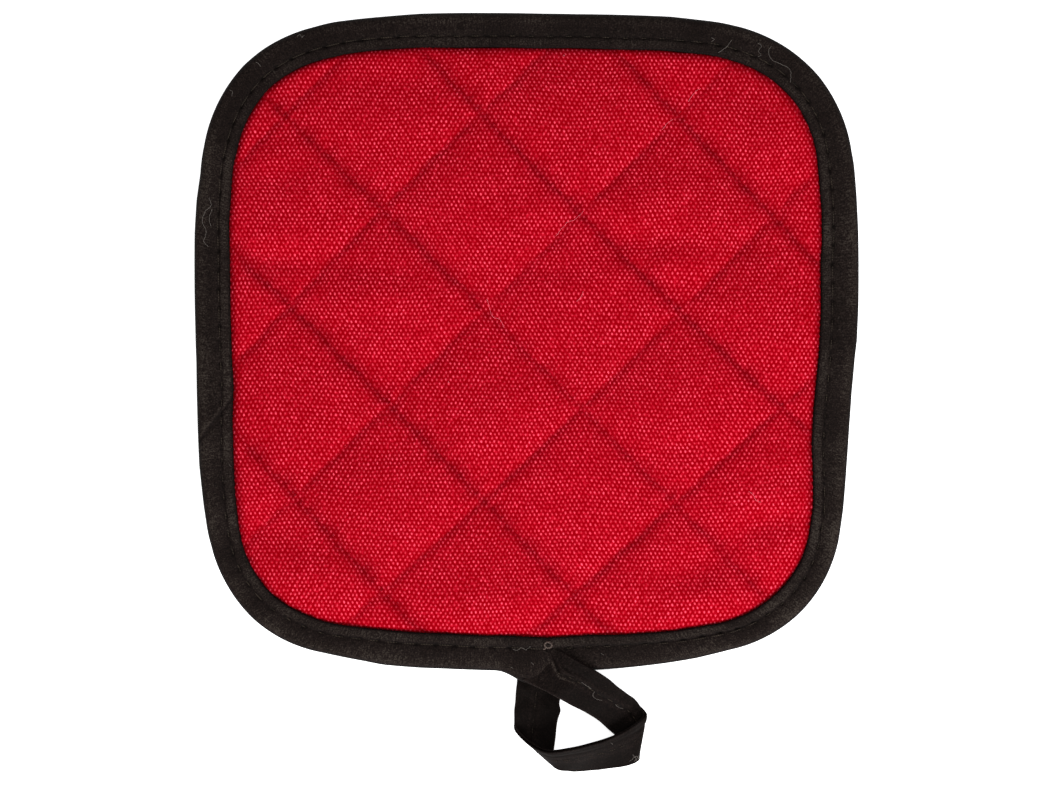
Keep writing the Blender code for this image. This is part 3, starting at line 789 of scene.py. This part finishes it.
def make_pad(material):
    """The filled pad: face and back on one grid along the seams, joined round the cut line under the tape."""
    falling = grid_lines(FALLING_SEAMS)
    rising = grid_lines(RISING_SEAMS)
    places = crossing(Seam(*falling.T[:, :, None]), Seam(*rising.T[:, None, :]))
    rows, columns = places.shape[:2]
    places = places.reshape(-1, 2)
    depth, feet = nearest_on(places, rim_line(OUTER_EDGE, OUTLINE_STEPS, CUT_LINE_INSET))
    index = np.arange(rows * columns).reshape(rows, columns)
    quads = np.stack((index[:-1, :-1], index[:-1, 1:], index[1:, 1:], index[1:, :-1]), -1).reshape(-1, 4)
    quads = quads[(depth[quads] > 0).sum(axis=1) >= 3]
    # Faces that hang on by one corner are dropped, then the stepped border is drawn onto the cut line.
    used, counts = np.unique(quads, return_counts=True)
    border = used[counts < 4]
    places[border] = feet[border]
    lip = wandered(rim_line(TAPE_INNER_EDGE, OUTLINE_STEPS), INNER_WANDER)
    from_lip, _ = nearest_on(places[used], lip)
    renumber = np.full(rows * columns, -1)
    renumber[used] = np.arange(len(used))
    quads = renumber[quads]
    flat = places[used]
    face_half, face_groove_shade = half_thickness(flat, from_lip, 1)
    back_half, back_groove_shade = half_thickness(flat, from_lip, -1)
    top = RIM_MIDDLE_Z + face_half
    drop = RIM_MIDDLE_Z - RIM_HALF - (back_half - RIM_HALF) * UNDERSIDE_FULLNESS
    # The back is pressed flat where the pad rests, with a soft edge to each flat patch.
    bottom = REST_ROUNDING * np.logaddexp(0.0, drop / REST_ROUNDING)
    count = len(used)
    points = np.vstack((np.column_stack((flat, top)), np.column_stack((flat, bottom))))
    faces = [tuple(q) for q in quads] + [tuple(q) for q in quads[:, ::-1] + count]
    edges = np.concatenate([quads[:, [i, (i + 1) % 4]] for i in range(4)])
    both = {tuple(edge) for edge in edges.tolist()}
    faces += [(b, a, a + count, b + count) for a, b in both if (b, a) not in both]
    pad = mesh_piece("quilted_canvas_pad", points, faces, material)
    paint_points(pad, "painted_groove_shade", np.concatenate((face_groove_shade, back_groove_shade)))
    face_outwards(pad)
    return pad


# Tape and loop


def add_run_map(obj, places):
    """A UV map in millimetres along the tape and across it, from one place for each corner of each face."""
    obj.data.uv_layers.new(name="tape_run").data.foreach_set("uv", np.array(places).ravel())


def tube_faces(stations, around, closed):
    """Quads of a tube and, for each of its corners, (station, place around) with the last ones unwrapped."""
    faces = []
    corners = []
    for i in range(stations if closed else stations - 1):
        k = (i + 1) % stations
        for j in range(around):
            m = (j + 1) % around
            faces.append((i * around + j, i * around + m, k * around + m, k * around + j))
            corners.append(((i, j), (i, j + 1), (i + 1, j + 1), (i + 1, j)))
    return faces, corners


def tail_bulge(points):
    """How far the tape bulges at places on its outer edge, where its tail turns off into the loop."""
    share = np.clip((points[:, 0] - TAIL_BULGE_X) / TAIL_BULGE_HALF_WIDTH, -1.0, 1.0)
    return np.where(points[:, 1] < 0, TAIL_BULGE_DEPTH * (1.0 + np.cos(math.pi * share)) / 2, 0.0)


def tape_profile(width):
    """Half of the C-shaped section, from its inner edge over the top to its outer edge.

    Each row is (distance in from the outer edge, height over the middle plane, share of the tail's bulge).
    """
    edge = ((0.05, 1.62), (0.0, 1.9), (0.05, 2.22), (0.22, 2.45))
    rows = [(width - back, height, 0.0) for back, height in edge]
    for back in LIP_STATIONS:
        swell = LIP_SWELL * math.sin(math.pi * min(1.0, back / VALLEY_FROM_EDGE)) ** 0.7
        rows.append((width - back, TAPE_HALF + swell, 0.0))
    valley = width - VALLEY_FROM_EDGE
    for out in np.linspace(valley - TAPE_PANEL_START, TAPE_FOLD_START, 8):
        share = 1.0 - (out - TAPE_FOLD_START) / max(valley - 4.0, 0.1)
        rows.append((out, TAPE_PANEL_HALF, 0.45 * max(0.0, share)))
    for turn in np.linspace(0, math.pi / 2, 9)[1:]:
        inwards = 1 - math.sin(turn)
        rows.append((2.2 * inwards, TAPE_PANEL_HALF * math.cos(turn) ** 0.8, 1.0 - 0.5 * inwards))
    return rows


def clasp_profile(width):
    """The same for the hollow that clasps the pad, from the lower jaw round to the upper one."""
    clasp = TAPE_HALF - TAPE_THICKNESS
    lower = [(width - 1.0, -clasp, 0.0), (TAPE_FOLD_START, -clasp, 0.0), (1.2, -0.9, 0.7)]
    upper = [(out, -height, share) for out, height, share in reversed(lower)]
    return [*lower, (0.95, 0.0, 0.7), *upper]


def tape_painted_light(back, out, hole, drift):
    """Painted light on the tape: most on its lip and outer third as painted highlights, least in the stitched
    line and at the outer fold as painted shade.
    """
    lip = 0.56 * math.exp(-(((back - 1.7) / 1.5) ** 4))
    panel = 0.36 + 0.20 * math.exp(-(((out - 2.0) / 1.5) ** 2)) if back > 2.0 else 0.0
    channel = (0.42 + 0.58 * hole) * math.exp(-(((back - VALLEY_FROM_EDGE) / (0.34 + 0.26 * hole)) ** 2))
    # Painted shade at the outer fold, where the tape turns under.
    fold = math.exp(-((out / 0.65) ** 4))
    return max(0.0, max(lip, panel) * (1.0 + 0.25 * drift) * (1.0 - channel) * (1.0 - fold))


def needle_holes():
    """How near each place of the tape lies to one of its needle holes, from 0 to 1, all the way round."""
    line = wandered(rim_line(TAPE_INNER_EDGE, TAPE_STEPS, -VALLEY_FROM_EDGE), INNER_WANDER)
    step = np.linalg.norm(np.roll(line, -1, axis=0) - line, axis=1)
    stitches = int(step.sum() / TOPSTITCHING.pitch)
    phase = (np.cumsum(step) - step) / step.sum() * stitches % 1.0
    return np.exp(-(((phase - 0.5) / HOLE_HALF) ** 2))


def from_joint(place):
    """Signed distance from the tape's slanting joint, above zero where the tape lies double."""
    along = (JOINT_INNER - JOINT_OUTER) / np.linalg.norm(JOINT_INNER - JOINT_OUTER)
    offset = place[:2] - JOINT_OUTER
    return offset[1] * along[0] - offset[0] * along[1]


def joint_relief(place):
    """(step up, factor on the painted light) at a place by the joint: painted shade in its groove, a painted
    highlight just past the step.
    """
    past = from_joint(place)
    line = math.exp(-((past / JOINT_REACH) ** 2))
    step = JOINT_STEP * math.exp(-max(0.0, past) / 4.0) * (past > 0) - JOINT_GROOVE * line
    return step, (1.0 - 0.75 * line) * (1.0 + 0.35 * math.exp(-(((past - 0.9) / 0.5) ** 2)))


def make_tape(material):
    """The edge tape: its C-shaped section carried round the pad, with ripples, stitched line and joint."""
    outer = wandered(rim_line(OUTER_EDGE, TAPE_STEPS), OUTER_WANDER)
    inner = wandered(rim_line(TAPE_INNER_EDGE, TAPE_STEPS), INNER_WANDER)
    stations = len(outer)
    step = np.linalg.norm(np.roll(outer, -1, axis=0) - outer, axis=1)
    run = np.concatenate(((0.0,), np.cumsum(step)))
    # Places on a circle as long as the tape, so that its unevenness meets itself after one turn.
    turns = run[:-1] / run[-1] * 2 * math.pi
    circle = np.column_stack((np.cos(turns), np.sin(turns))) * run[-1] / (2 * math.pi)
    ripple = soft_field(circle, 6.0, 7)
    swell = soft_field(circle, 22.0, 8)
    skew = soft_field(circle, 13.0, 9)
    bulge = tail_bulge(outer)
    hole = needle_holes()
    # Painted light: the tape is drawn darkest along the far side, away from the key light, and a little
    # darker at the near end.
    lit_share = np.interp(outer[:, 1], (-90.0, -70.0, 45.0, 75.0), (0.86, 1.0, 1.0, 0.70))
    points = []
    rim_place = []
    painted_light = []
    for i in range(stations):
        span = inner[i] - outer[i]
        width = np.linalg.norm(span)
        inwards = span / width
        drift = 0.6 * swell[i] + 0.6 * skew[i]
        for side in (1, -1):
            rows = tape_profile(width)
            if side < 0:
                rows = rows[::-1][1:]
            for out, height, share in rows:
                back = width - out
                near_valley = ((back - VALLEY_FROM_EDGE) / CHANNEL_REACH) ** 2
                near_hole = ((back - VALLEY_FROM_EDGE) / HOLE_REACH) ** 2
                dent = CHANNEL_DEPTH * (1.0 - 0.4 * hole[i]) * math.exp(-near_valley)
                dent += HOLE_DEPTH * hole[i] * math.exp(-near_hole)
                crown = math.exp(-(((back - VALLEY_FROM_EDGE - 2.2) / 2.2) ** 2))
                drag = 0.07 * skew[(i + int(back * 3)) % stations] * crown
                wave = (0.05 * ripple[i] + 0.06 * swell[i]) * crown + drag
                near_edge = math.exp(-((back / 1.6) ** 2))
                lift = height
                if height > 2.3:
                    lift += wave + 0.10 * swell[i] * near_edge - dent
                place = outer[i] + inwards * (out - bulge[i] * share)
                # Painted light and shade for this place of the tape's section.
                painted_here = lit_share[i] * tape_painted_light(back, out, hole[i], drift)
                if place[0] < -70.0 and abs(place[1] - JOINT_OUTER[1]) < 30.0 and height > 1.0:
                    joint_step, joint_light = joint_relief(place)
                    lift += joint_step
                    painted_here *= joint_light
                points.append((*place, RIM_MIDDLE_Z + side * lift))
                rim_place.append(back if side > 0 else 2 * width - back)
                painted_light.append(painted_here)
        for out, height, share in clasp_profile(width):
            place = outer[i] + inwards * (out - bulge[i] * share)
            points.append((*place, RIM_MIDDLE_Z + height))
            rim_place.append(out)
            painted_light.append(HOLLOW_PAINTED_LIGHT)
    around = len(points) // stations
    faces, corners = tube_faces(stations, around, True)
    tape = mesh_piece("edge_tape", points, faces, material)
    across = np.array(rim_place).reshape(stations, around)
    add_run_map(tape, [(run[i], across[i % stations][j % around]) for quad in corners for i, j in quad])
    paint_points(tape, "painted_light", painted_light)
    face_outwards(tape)
    return tape


def smooth_rows(rows, steps):
    """Rows of numbers with more between them, along smooth curves that pass through each row."""
    rows = np.array(rows, float)
    padded = np.vstack((2 * rows[0] - rows[1], rows, 2 * rows[-1] - rows[-2]))
    found = []
    for before, start, end, after in zip(padded, padded[1:], padded[2:], padded[3:]):
        slope = end - before
        bend = 2 * before - 5 * start + 4 * end - after
        twist = 3 * start - before - 3 * end + after
        for t in np.arange(steps) / steps:
            found.append(0.5 * (2 * start + slope * t + bend * t**2 + twist * t**3))
    found.append(rows[-1])
    return np.array(found)


def strap_frames(steps=10):
    """P edge, Q edge, surface normal and distance run of the strap at each fine crosswise line."""
    lines = smooth_rows(LOOP, steps)
    middle = (lines[:, :3] + lines[:, 3:]) / 2
    run = np.concatenate(((0.0,), np.cumsum(np.linalg.norm(np.diff(middle, axis=0), axis=1))))
    # The strap grows out of the tape, so its first stretch sinks into the tape's surface.
    lines[:, (2, 5)] -= (STRAP_START_SINK * np.exp(-((run / STRAP_START_REACH) ** 2)))[:, None]
    p_edge = lines[:, :3]
    q_edge = lines[:, 3:]
    lift = np.cross(q_edge - p_edge, np.gradient(middle, axis=0))
    lift /= np.linalg.norm(lift, axis=1)[:, None]
    return p_edge, q_edge, lift, run


def seam_share(run):
    """Where the seam lies on the strap's face, as a share of the way from P to Q."""
    return np.interp(run, *zip(*SEAM_PATH))


def strap_surface(share, run):
    """Relief of the strap's faces in millimetres: the stitched lip, and the fold's edge on the back."""
    away = share - seam_share(run)
    near_start = np.exp(-(((run - 7.0) / 7.0) ** 2))
    seam = -(0.16 + 0.34 * near_start) * np.exp(-((away / 0.035) ** 2))
    seam -= 0.35 * near_start * np.exp(-(((away - 0.17) / 0.03) ** 2))
    lip = 0.12 + 0.42 * near_start
    step = lip * np.tanh(away / 0.025) * np.exp(-((away / 0.18) ** 2))
    ripple = 0.08 * soft_line(run + 9.0 * share, 8.0, 41) + 0.06 * soft_line(run - 6.0 * share, 4.5, 42)
    face = seam + step + ripple
    fold = -0.18 * np.exp(-(((share - STRAP_FOLD_SHARE) / 0.04) ** 2))
    back = fold + 0.08 * np.tanh((share - STRAP_FOLD_SHARE) / 0.03) + 0.6 * ripple
    return face, back


def strap_section(shares):
    """Closed section of the doubled tape: rows of (share from P to Q, height in half thicknesses, layer).

    It runs along the face from its lip at Q to the fold at P, back along the other layer, and then inside.
    """
    rounding = [(0.016, 0.90), (0.005, 0.62), (0.0, 0.0), (0.005, -0.62), (0.016, -0.90)]
    lip = [(0.994, 0.55), (0.999, 0.75), (0.994, 0.95)]
    section = [(share, height, 1) for share, height in lip]
    section += [(share, 1.0, 1) for share in shares[::-1]]
    section += [(share, height, 0) for share, height in rounding]
    section += [(share, -1.0, -1) for share in shares]
    section += [(share, -height, -1) for share, height in reversed(lip)]
    inside = shares[::3]
    section += [(share, -STRAP_SLIT, -1) for share in inside[::-1]]
    section += [(share, STRAP_SLIT, 1) for share in inside]
    return section


def strap_painted_light(shares, layers, run):
    """Painted light on the strap: painted highlights along its edges, its fold and its seam's lips and most
    by the tape, and painted shade in its seam.
    """
    away = shares - seam_share(run)
    seam = np.exp(-((away / 0.035) ** 2))
    lips = 0.16 * np.exp(-(((np.abs(away) - 0.09) / 0.05) ** 2))
    # A painted highlight along the crease's lip where the strap leaves the tape.
    ridge = 0.80 * np.exp(-(((away + 0.070) / 0.026) ** 2)) * np.exp(-(((run - 7.0) / 6.0) ** 4))
    edges = 0.12 * np.exp(-((np.minimum(shares, 1 - shares) / 0.05) ** 2))
    # Painted light along the strap's run, lightest where it leaves the tape.
    body = np.interp(run, (0.0, 15.0, 35.0, 60.0, 75.0, 90.0), (0.28, 0.05, 0.06, 0.03, 0.03, 0.05))
    fading = np.interp(run, (0.0, 12.0, 30.0, 100.0), (0.9, 0.7, 0.35, 0.3))
    # The seam is drawn darker as painted shade, and the rounded fold half lit.
    return np.where(layers == 0, 0.5, (body + lips + edges + ridge) * (1.0 - fading * seam))


def make_loop(material):
    """The loop: the same tape folded double along its edge P, with a seam that closes both lips at Q."""
    p_edge, q_edge, lift, run = strap_frames()
    half = STRAP_THICKNESS / 2
    section = strap_section(np.linspace(0.035, 0.975, 34))
    shares = np.array([share for share, _, _ in section])
    heights = np.array([height for _, height, _ in section])
    layers = np.array([layer for _, _, layer in section])
    soft = np.clip(np.minimum(shares, 1 - shares) / 0.06, 0, 1)
    wobble = 0.10 * soft_line(run, 9.0, 43)
    points = []
    painted_light = []
    for i in range(len(run)):
        face, back = strap_surface(shares, np.full(len(shares), run[i]))
        across = (q_edge[i] - p_edge[i]) / np.linalg.norm(q_edge[i] - p_edge[i])
        relief = np.where(layers > 0, face, np.where(layers < 0, -back, 0.0)) * soft
        base = p_edge[i] + (q_edge[i] - p_edge[i]) * shares[:, None]
        base = base + across * (wobble[i] * (1 - 2 * shares))[:, None]
        ring = base - lift[i] * (half * heights + relief)[:, None]
        ring[:, 2] = np.maximum(ring[:, 2], STRAP_REST_HEIGHT)
        points.extend(ring)
        painted_light.append(strap_painted_light(shares, layers, run[i]))
    around = len(section)
    faces, corners = tube_faces(len(run), around, False)
    last = (len(run) - 1) * around
    faces += [tuple(range(around)), tuple(range(last, last + around))]
    strap = mesh_piece("hanging_loop_strap", points, faces, material)
    across_mm = np.where(layers >= 0, shares, -shares) * STRAP_WIDTH
    places = [(run[i], across_mm[j % around]) for quad in corners for i, j in quad]
    places += [(end, value) for end in (0.0, run[-1]) for value in across_mm]
    add_run_map(strap, places)
    paint_points(strap, "painted_light", np.concatenate(painted_light))
    face_outwards(strap)
    return strap


# Stitches and lint


def stitch_tree():
    """Geometry Nodes: lays short rounded stitches end to end along each curve, square to the cloth."""
    tree = bpy.data.node_groups.new("running_stitches", "GeometryNodeTree")
    face = tree.interface
    face.new_socket("Geometry", in_out="INPUT", socket_type="NodeSocketGeometry")
    for name in ("Pitch", "Stitch Length", "Thread Radius"):
        face.new_socket(name, in_out="INPUT", socket_type="NodeSocketFloat")
    face.new_socket("Thread", in_out="INPUT", socket_type="NodeSocketMaterial")
    face.new_socket("Geometry", in_out="OUTPUT", socket_type="NodeSocketGeometry")
    given = add_node(tree, "NodeGroupInput").outputs
    by_length = {"mode": "LENGTH"}
    curves = given["Geometry"]
    spaced = add_node(tree, "GeometryNodeResampleCurve", by_length, Curve=curves, Length=given["Pitch"])
    tangent = add_node(tree, "GeometryNodeInputTangent")
    turned = add_node(tree, "FunctionNodeAlignEulerToVector", {"axis": "Z"}, Vector=tangent)
    jitter = add_node(tree, "FunctionNodeRandomValue", {"data_type": "FLOAT"}, i2=0.86, i3=1.08, Seed=4)
    bead = add_node(tree, "GeometryNodeMeshUVSphere", Segments=8, Rings=7, Radius=1.0)
    half = add_node(tree, "ShaderNodeMath", MULTIPLY, i0=given["Stitch Length"], i1=0.5)
    radius = given["Thread Radius"]
    size = add_node(tree, "ShaderNodeCombineXYZ", X=radius, Y=radius, Z=half)
    scale = add_node(tree, "ShaderNodeVectorMath", {"operation": "SCALE"}, i0=size, Scale=jitter.outputs[1])
    laid = add_node(
        tree,
        "GeometryNodeInstanceOnPoints",
        Points=spaced,
        Instance=bead,
        Rotation=turned,
        Scale=scale,
    )
    real = add_node(tree, "GeometryNodeRealizeInstances", Geometry=laid)
    smooth = add_node(tree, "GeometryNodeSetShadeSmooth", Geometry=real)
    dressed = add_node(tree, "GeometryNodeSetMaterial", Geometry=smooth, Material=given["Thread"])
    add_node(tree, "NodeGroupOutput", Geometry=dressed)
    return tree


def drawn_curve(name, paths_mm, closed=False, radius_mm=0.0):
    """A curve object with one line through each path, round if it has a radius."""
    curve = bpy.data.curves.new(name, "CURVE")
    curve.dimensions = "3D"
    curve.bevel_depth = radius_mm * MM
    curve.bevel_resolution = 1
    curve.use_fill_caps = radius_mm > 0
    for path in paths_mm:
        places = np.asarray(path) * MM + PAD_MIDDLE
        spline = curve.splines.new("POLY")
        spline.points.add(len(places) - 1)
        spline.points.foreach_set("co", np.column_stack((places, np.ones(len(places)))).ravel())
        spline.use_cyclic_u = closed
    obj = bpy.data.objects.new(name, curve)
    bpy.context.scene.collection.objects.link(obj)
    return obj


def as_mesh(obj, name, material):
    """The evaluated object as a plain mesh object, with its modifiers and curve gone."""
    graph = bpy.context.evaluated_depsgraph_get()
    graph.update()
    mesh = bpy.data.meshes.new_from_object(obj.evaluated_get(graph))
    bpy.data.objects.remove(obj, do_unlink=True)
    mesh.materials.clear()
    mesh.materials.append(material)
    mesh.shade_smooth()
    mesh.name = name
    made = bpy.data.objects.new(name, mesh)
    bpy.context.scene.collection.objects.link(made)
    return made


def stitch_along(name, paths_mm, tree, stitch, thread, closed=False):
    """Stitches of this kind along the paths, as one plain mesh."""
    guide = drawn_curve(name + "_guide", paths_mm, closed)
    layer = guide.modifiers.new("stitches", "NODES")
    layer.node_group = tree
    sockets = {
        item.name: item.identifier
        for item in tree.interface.items_tree
        if item.item_type == "SOCKET" and item.in_out == "INPUT"
    }
    layer[sockets["Pitch"]] = stitch.pitch * MM
    layer[sockets["Stitch Length"]] = stitch.length * MM
    layer[sockets["Thread Radius"]] = stitch.radius * MM
    layer[sockets["Thread"]] = thread
    return as_mesh(guide, name, thread)


def drop_onto(points_xy, surfaces, from_above=True, lift=0.0):
    """Places over the surfaces, in millimetres from the pad's middle. Places that miss them are dropped."""
    found = []
    toward = -1 if from_above else 1
    for x, y in points_xy:
        origin = Vector((x * MM + PAD_MIDDLE[0], y * MM + PAD_MIDDLE[1], -0.05 * toward))
        hits = [surface.ray_cast(origin, (0, 0, toward)) for surface in surfaces]
        heights = [spot.z for hit, spot, _, _ in hits if hit]
        if heights:
            height = max(heights) if from_above else min(heights)
            found.append((x, y, height / MM - toward * lift))
    return found


def make_quilting(pad, tree, thread):
    """Stitches along every seam, on the face and on the back, as far as the tape."""
    limit = rim_line(TAPE_INNER_EDGE, OUTLINE_STEPS, -QUILTING_UNDER_TAPE)
    along = np.arange(-112.0, 112.0, 1.0)
    paths = []
    for family, sign, seed in ((FALLING_SEAMS, 1, FALLING_SEED), (RISING_SEAMS, -1, RISING_SEED)):
        for i, seam in enumerate(family):
            across = sewn_position(seam, along, seed + i)
            line = np.column_stack((across + along, sign * (across - along))) / math.sqrt(2)
            line = line[nearest_on(line, limit)[0] > 0]
            if len(line) > 6:
                paths.append(drop_onto(line, [pad], True, QUILTING.face_lift))
                paths.append(drop_onto(line, [pad], False, QUILTING.back_lift))
    return stitch_along("quilting_stitches", paths, tree, QUILTING, thread)


def make_topstitching(tape, tree, thread):
    """The tape's topstitching, once round on each face."""
    line = wandered(rim_line(TAPE_INNER_EDGE, 80, -VALLEY_FROM_EDGE), INNER_WANDER)
    above = drop_onto(line, [tape], True, TOPSTITCHING.face_lift)
    below = drop_onto(line, [tape], False, TOPSTITCHING.back_lift)
    return stitch_along("tape_topstitching", [above, below], tree, TOPSTITCHING, thread, closed=True)


def strap_point(frames, along, share, side, lift):
    """A place on the strap: this many crosswise lines along it, and share of the way from P to Q.

    The side is 1 for its face and -1 for its back.
    """
    p_edge, q_edge, normal, _ = frames
    i = int(along)
    t = along - i
    j = min(i + 1, len(p_edge) - 1)
    p = p_edge[i] + (p_edge[j] - p_edge[i]) * t
    q = q_edge[i] + (q_edge[j] - q_edge[i]) * t
    up = normal[i] + (normal[j] - normal[i]) * t
    return p + (q - p) * share - up * side * (STRAP_THICKNESS / 2 + lift)


def make_strap_stitching(tree, thread):
    """The seam that closes the loop's tape, on its face and, straight through, on its back."""
    frames = strap_frames()
    stations = np.arange(STRAP_STITCH_START, STRAP_STITCH_END)
    shares = seam_share(np.interp(stations, np.arange(len(frames[3])), frames[3]))
    paths = []
    for side, lift in ((1, STRAP_SEWING.face_lift), (-1, STRAP_SEWING.back_lift)):
        path = np.array([strap_point(frames, at, share, side, lift) for at, share in zip(stations, shares)])
        path[:, 2] = np.maximum(path[:, 2], STRAP_THREAD_HEIGHT)
        paths.append(path)
    return stitch_along("strap_stitching", paths, tree, STRAP_SEWING, thread)


def make_knot(thread):
    """The curl of thread that finishes the tape's seam where the loop leaves it."""
    turns = np.linspace(0.0, 2.35 * math.pi, 26)
    radius = 0.95 - 0.05 * turns / math.pi
    ring = np.column_stack(
        (
            KNOT.x + radius * 1.12 * np.cos(turns + 0.6),
            KNOT.y + radius * 0.85 * np.sin(turns + 0.6),
            KNOT.z + 0.06 * turns,
        )
    )
    end = [(KNOT.x - 1.4, KNOT.y - 1.2, KNOT.z - 0.1), (KNOT.x - 0.6, KNOT.y - 0.95, KNOT.z)]
    curl = drawn_curve("knot_guide", [ring, end], radius_mm=0.21)
    return as_mesh(curl, "thread_knot", thread)


def make_lint(name, lints, surfaces, material):
    """Loose fibres that lie on the cloth, as thin round curves."""
    rng = np.random.default_rng(5)
    paths = []
    for lint in lints:
        path = smooth_rows(lint, 6)
        path = path + rng.normal(0.0, LINT_CURL / 2, path.shape) * (rng.random((len(path), 1)) < 0.6)
        paths.append(drop_onto(path, surfaces, lift=LINT_LIFT))
    fibres = drawn_curve(name + "_guide", [path for path in paths if len(path) > 2], radius_mm=LINT_RADIUS)
    return as_mesh(fibres, name, material)


def make_table_top(material):
    """The lit table that the pot holder lies on, a hair below it."""
    mesh = bpy.data.meshes.new("light_table_top")
    far = TABLE_HALF * MM
    corners = [(x, y, -TABLE_DROP * MM) for x, y in ((-far, -far), (far, -far), (far, far), (-far, far))]
    mesh.from_pydata(corners, [], [(0, 1, 2, 3)])
    mesh.materials.append(material)
    table = bpy.data.objects.new("light_table_top", mesh)
    bpy.context.scene.collection.objects.link(table)
    return table


def main():
    """Makes the pieces, hides the parts that they stand in for, attaches them to one body, and sets the
    stage.
    """
    canvas = red_canvas()
    tape_cloth = black_tape()
    red_thread = sewing_thread("red_spun_polyester_thread", "#84000A", "#A80818", 0.85)
    black_thread = sewing_thread("black_spun_polyester_thread", "#12100E", "#40372F", 0.8)

    pad = make_pad(canvas)
    tape = make_tape(tape_cloth)
    strap = make_loop(tape_cloth)
    tree = stitch_tree()
    quilting = make_quilting(pad, tree, red_thread)
    topstitching = make_topstitching(tape, tree, black_thread)
    # Painted highlight: the knot's black thread is drawn brown-grey for the light it catches.
    highlit_thread = sewing_thread("black_polyester_thread_with_painted_highlight", "#3A302C", "#6A5D56", 0.8)
    strap_stitching = make_strap_stitching(tree, black_thread)
    knot = make_knot(highlit_thread)
    pale_fibre = lint_fibre("pale_cotton_lint", "#4C4844", "#8A827C")
    pink_fibre = lint_fibre("pink_cotton_lint", "#F8506C", "#FF9CAC")
    tape_lint = make_lint("lint_on_tape", TAPE_LINT, [tape, strap, pad], pale_fibre)
    pad_lint = make_lint("lint_on_pad", PAD_LINT, [pad], pink_fibre)

    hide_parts("quilted_pad")
    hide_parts("edge_binding")
    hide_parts("hanging_loop")
    for piece, slot in (
        (pad, "red_cotton_canvas"),
        (quilting, "red_cotton_canvas"),
        (tape, "black_cotton_tape"),
        (topstitching, "black_cotton_tape"),
        (strap, "black_cotton_tape"),
        (strap_stitching, "black_cotton_tape"),
        (knot, "black_cotton_tape"),
        (tape_lint, "black_cotton_tape"),
        (pad_lint, "red_cotton_canvas"),
    ):
        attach(piece, "root")

    make_table_top(light_table())
    set_light()
    set_camera()


def set_light():
    """Even white light from all round, with a soft key from the near side and a weak fill from above."""
    scene = bpy.context.scene
    scene.view_settings.view_transform = "Standard"
    world = bpy.data.worlds.new("studio")
    scene.world = world
    world.use_nodes = True
    sky = world.node_tree.nodes["Background"]
    sky.inputs["Color"].default_value = (1.0, 1.0, 1.0, 1.0)
    sky.inputs["Strength"].default_value = 0.62
    for name, place, size, watts in (
        ("key_softbox", (0.24, -0.93, 0.56), 0.6, 17.4),
        ("fill_softbox", (0.5, 0.3, 1.3), 1.2, 5.0),
    ):
        lamp = bpy.data.lights.new(name, "AREA")
        lamp.shape = "SQUARE"
        lamp.size = size
        lamp.energy = watts
        obj = bpy.data.objects.new(name, lamp)
        obj.location = place
        obj.rotation_euler = (-Vector(place)).to_track_quat("-Z", "Y").to_euler()
        scene.collection.objects.link(obj)


def set_camera():
    """Straight down, far enough away for the flat look of a long lens."""
    data = bpy.data.cameras.new("camera")
    data.lens = LENS
    data.sensor_width = SENSOR
    data.clip_start = 0.01
    camera = bpy.data.objects.new("camera", data)
    distance = PICTURE_WIDTH / PIXELS_PER_MM * LENS / SENSOR
    camera.location = (CAMERA_X * MM, 0.0, (FOCUS_HEIGHT + distance) * MM)
    bpy.context.scene.collection.objects.link(camera)
    bpy.context.scene.camera = camera


main()
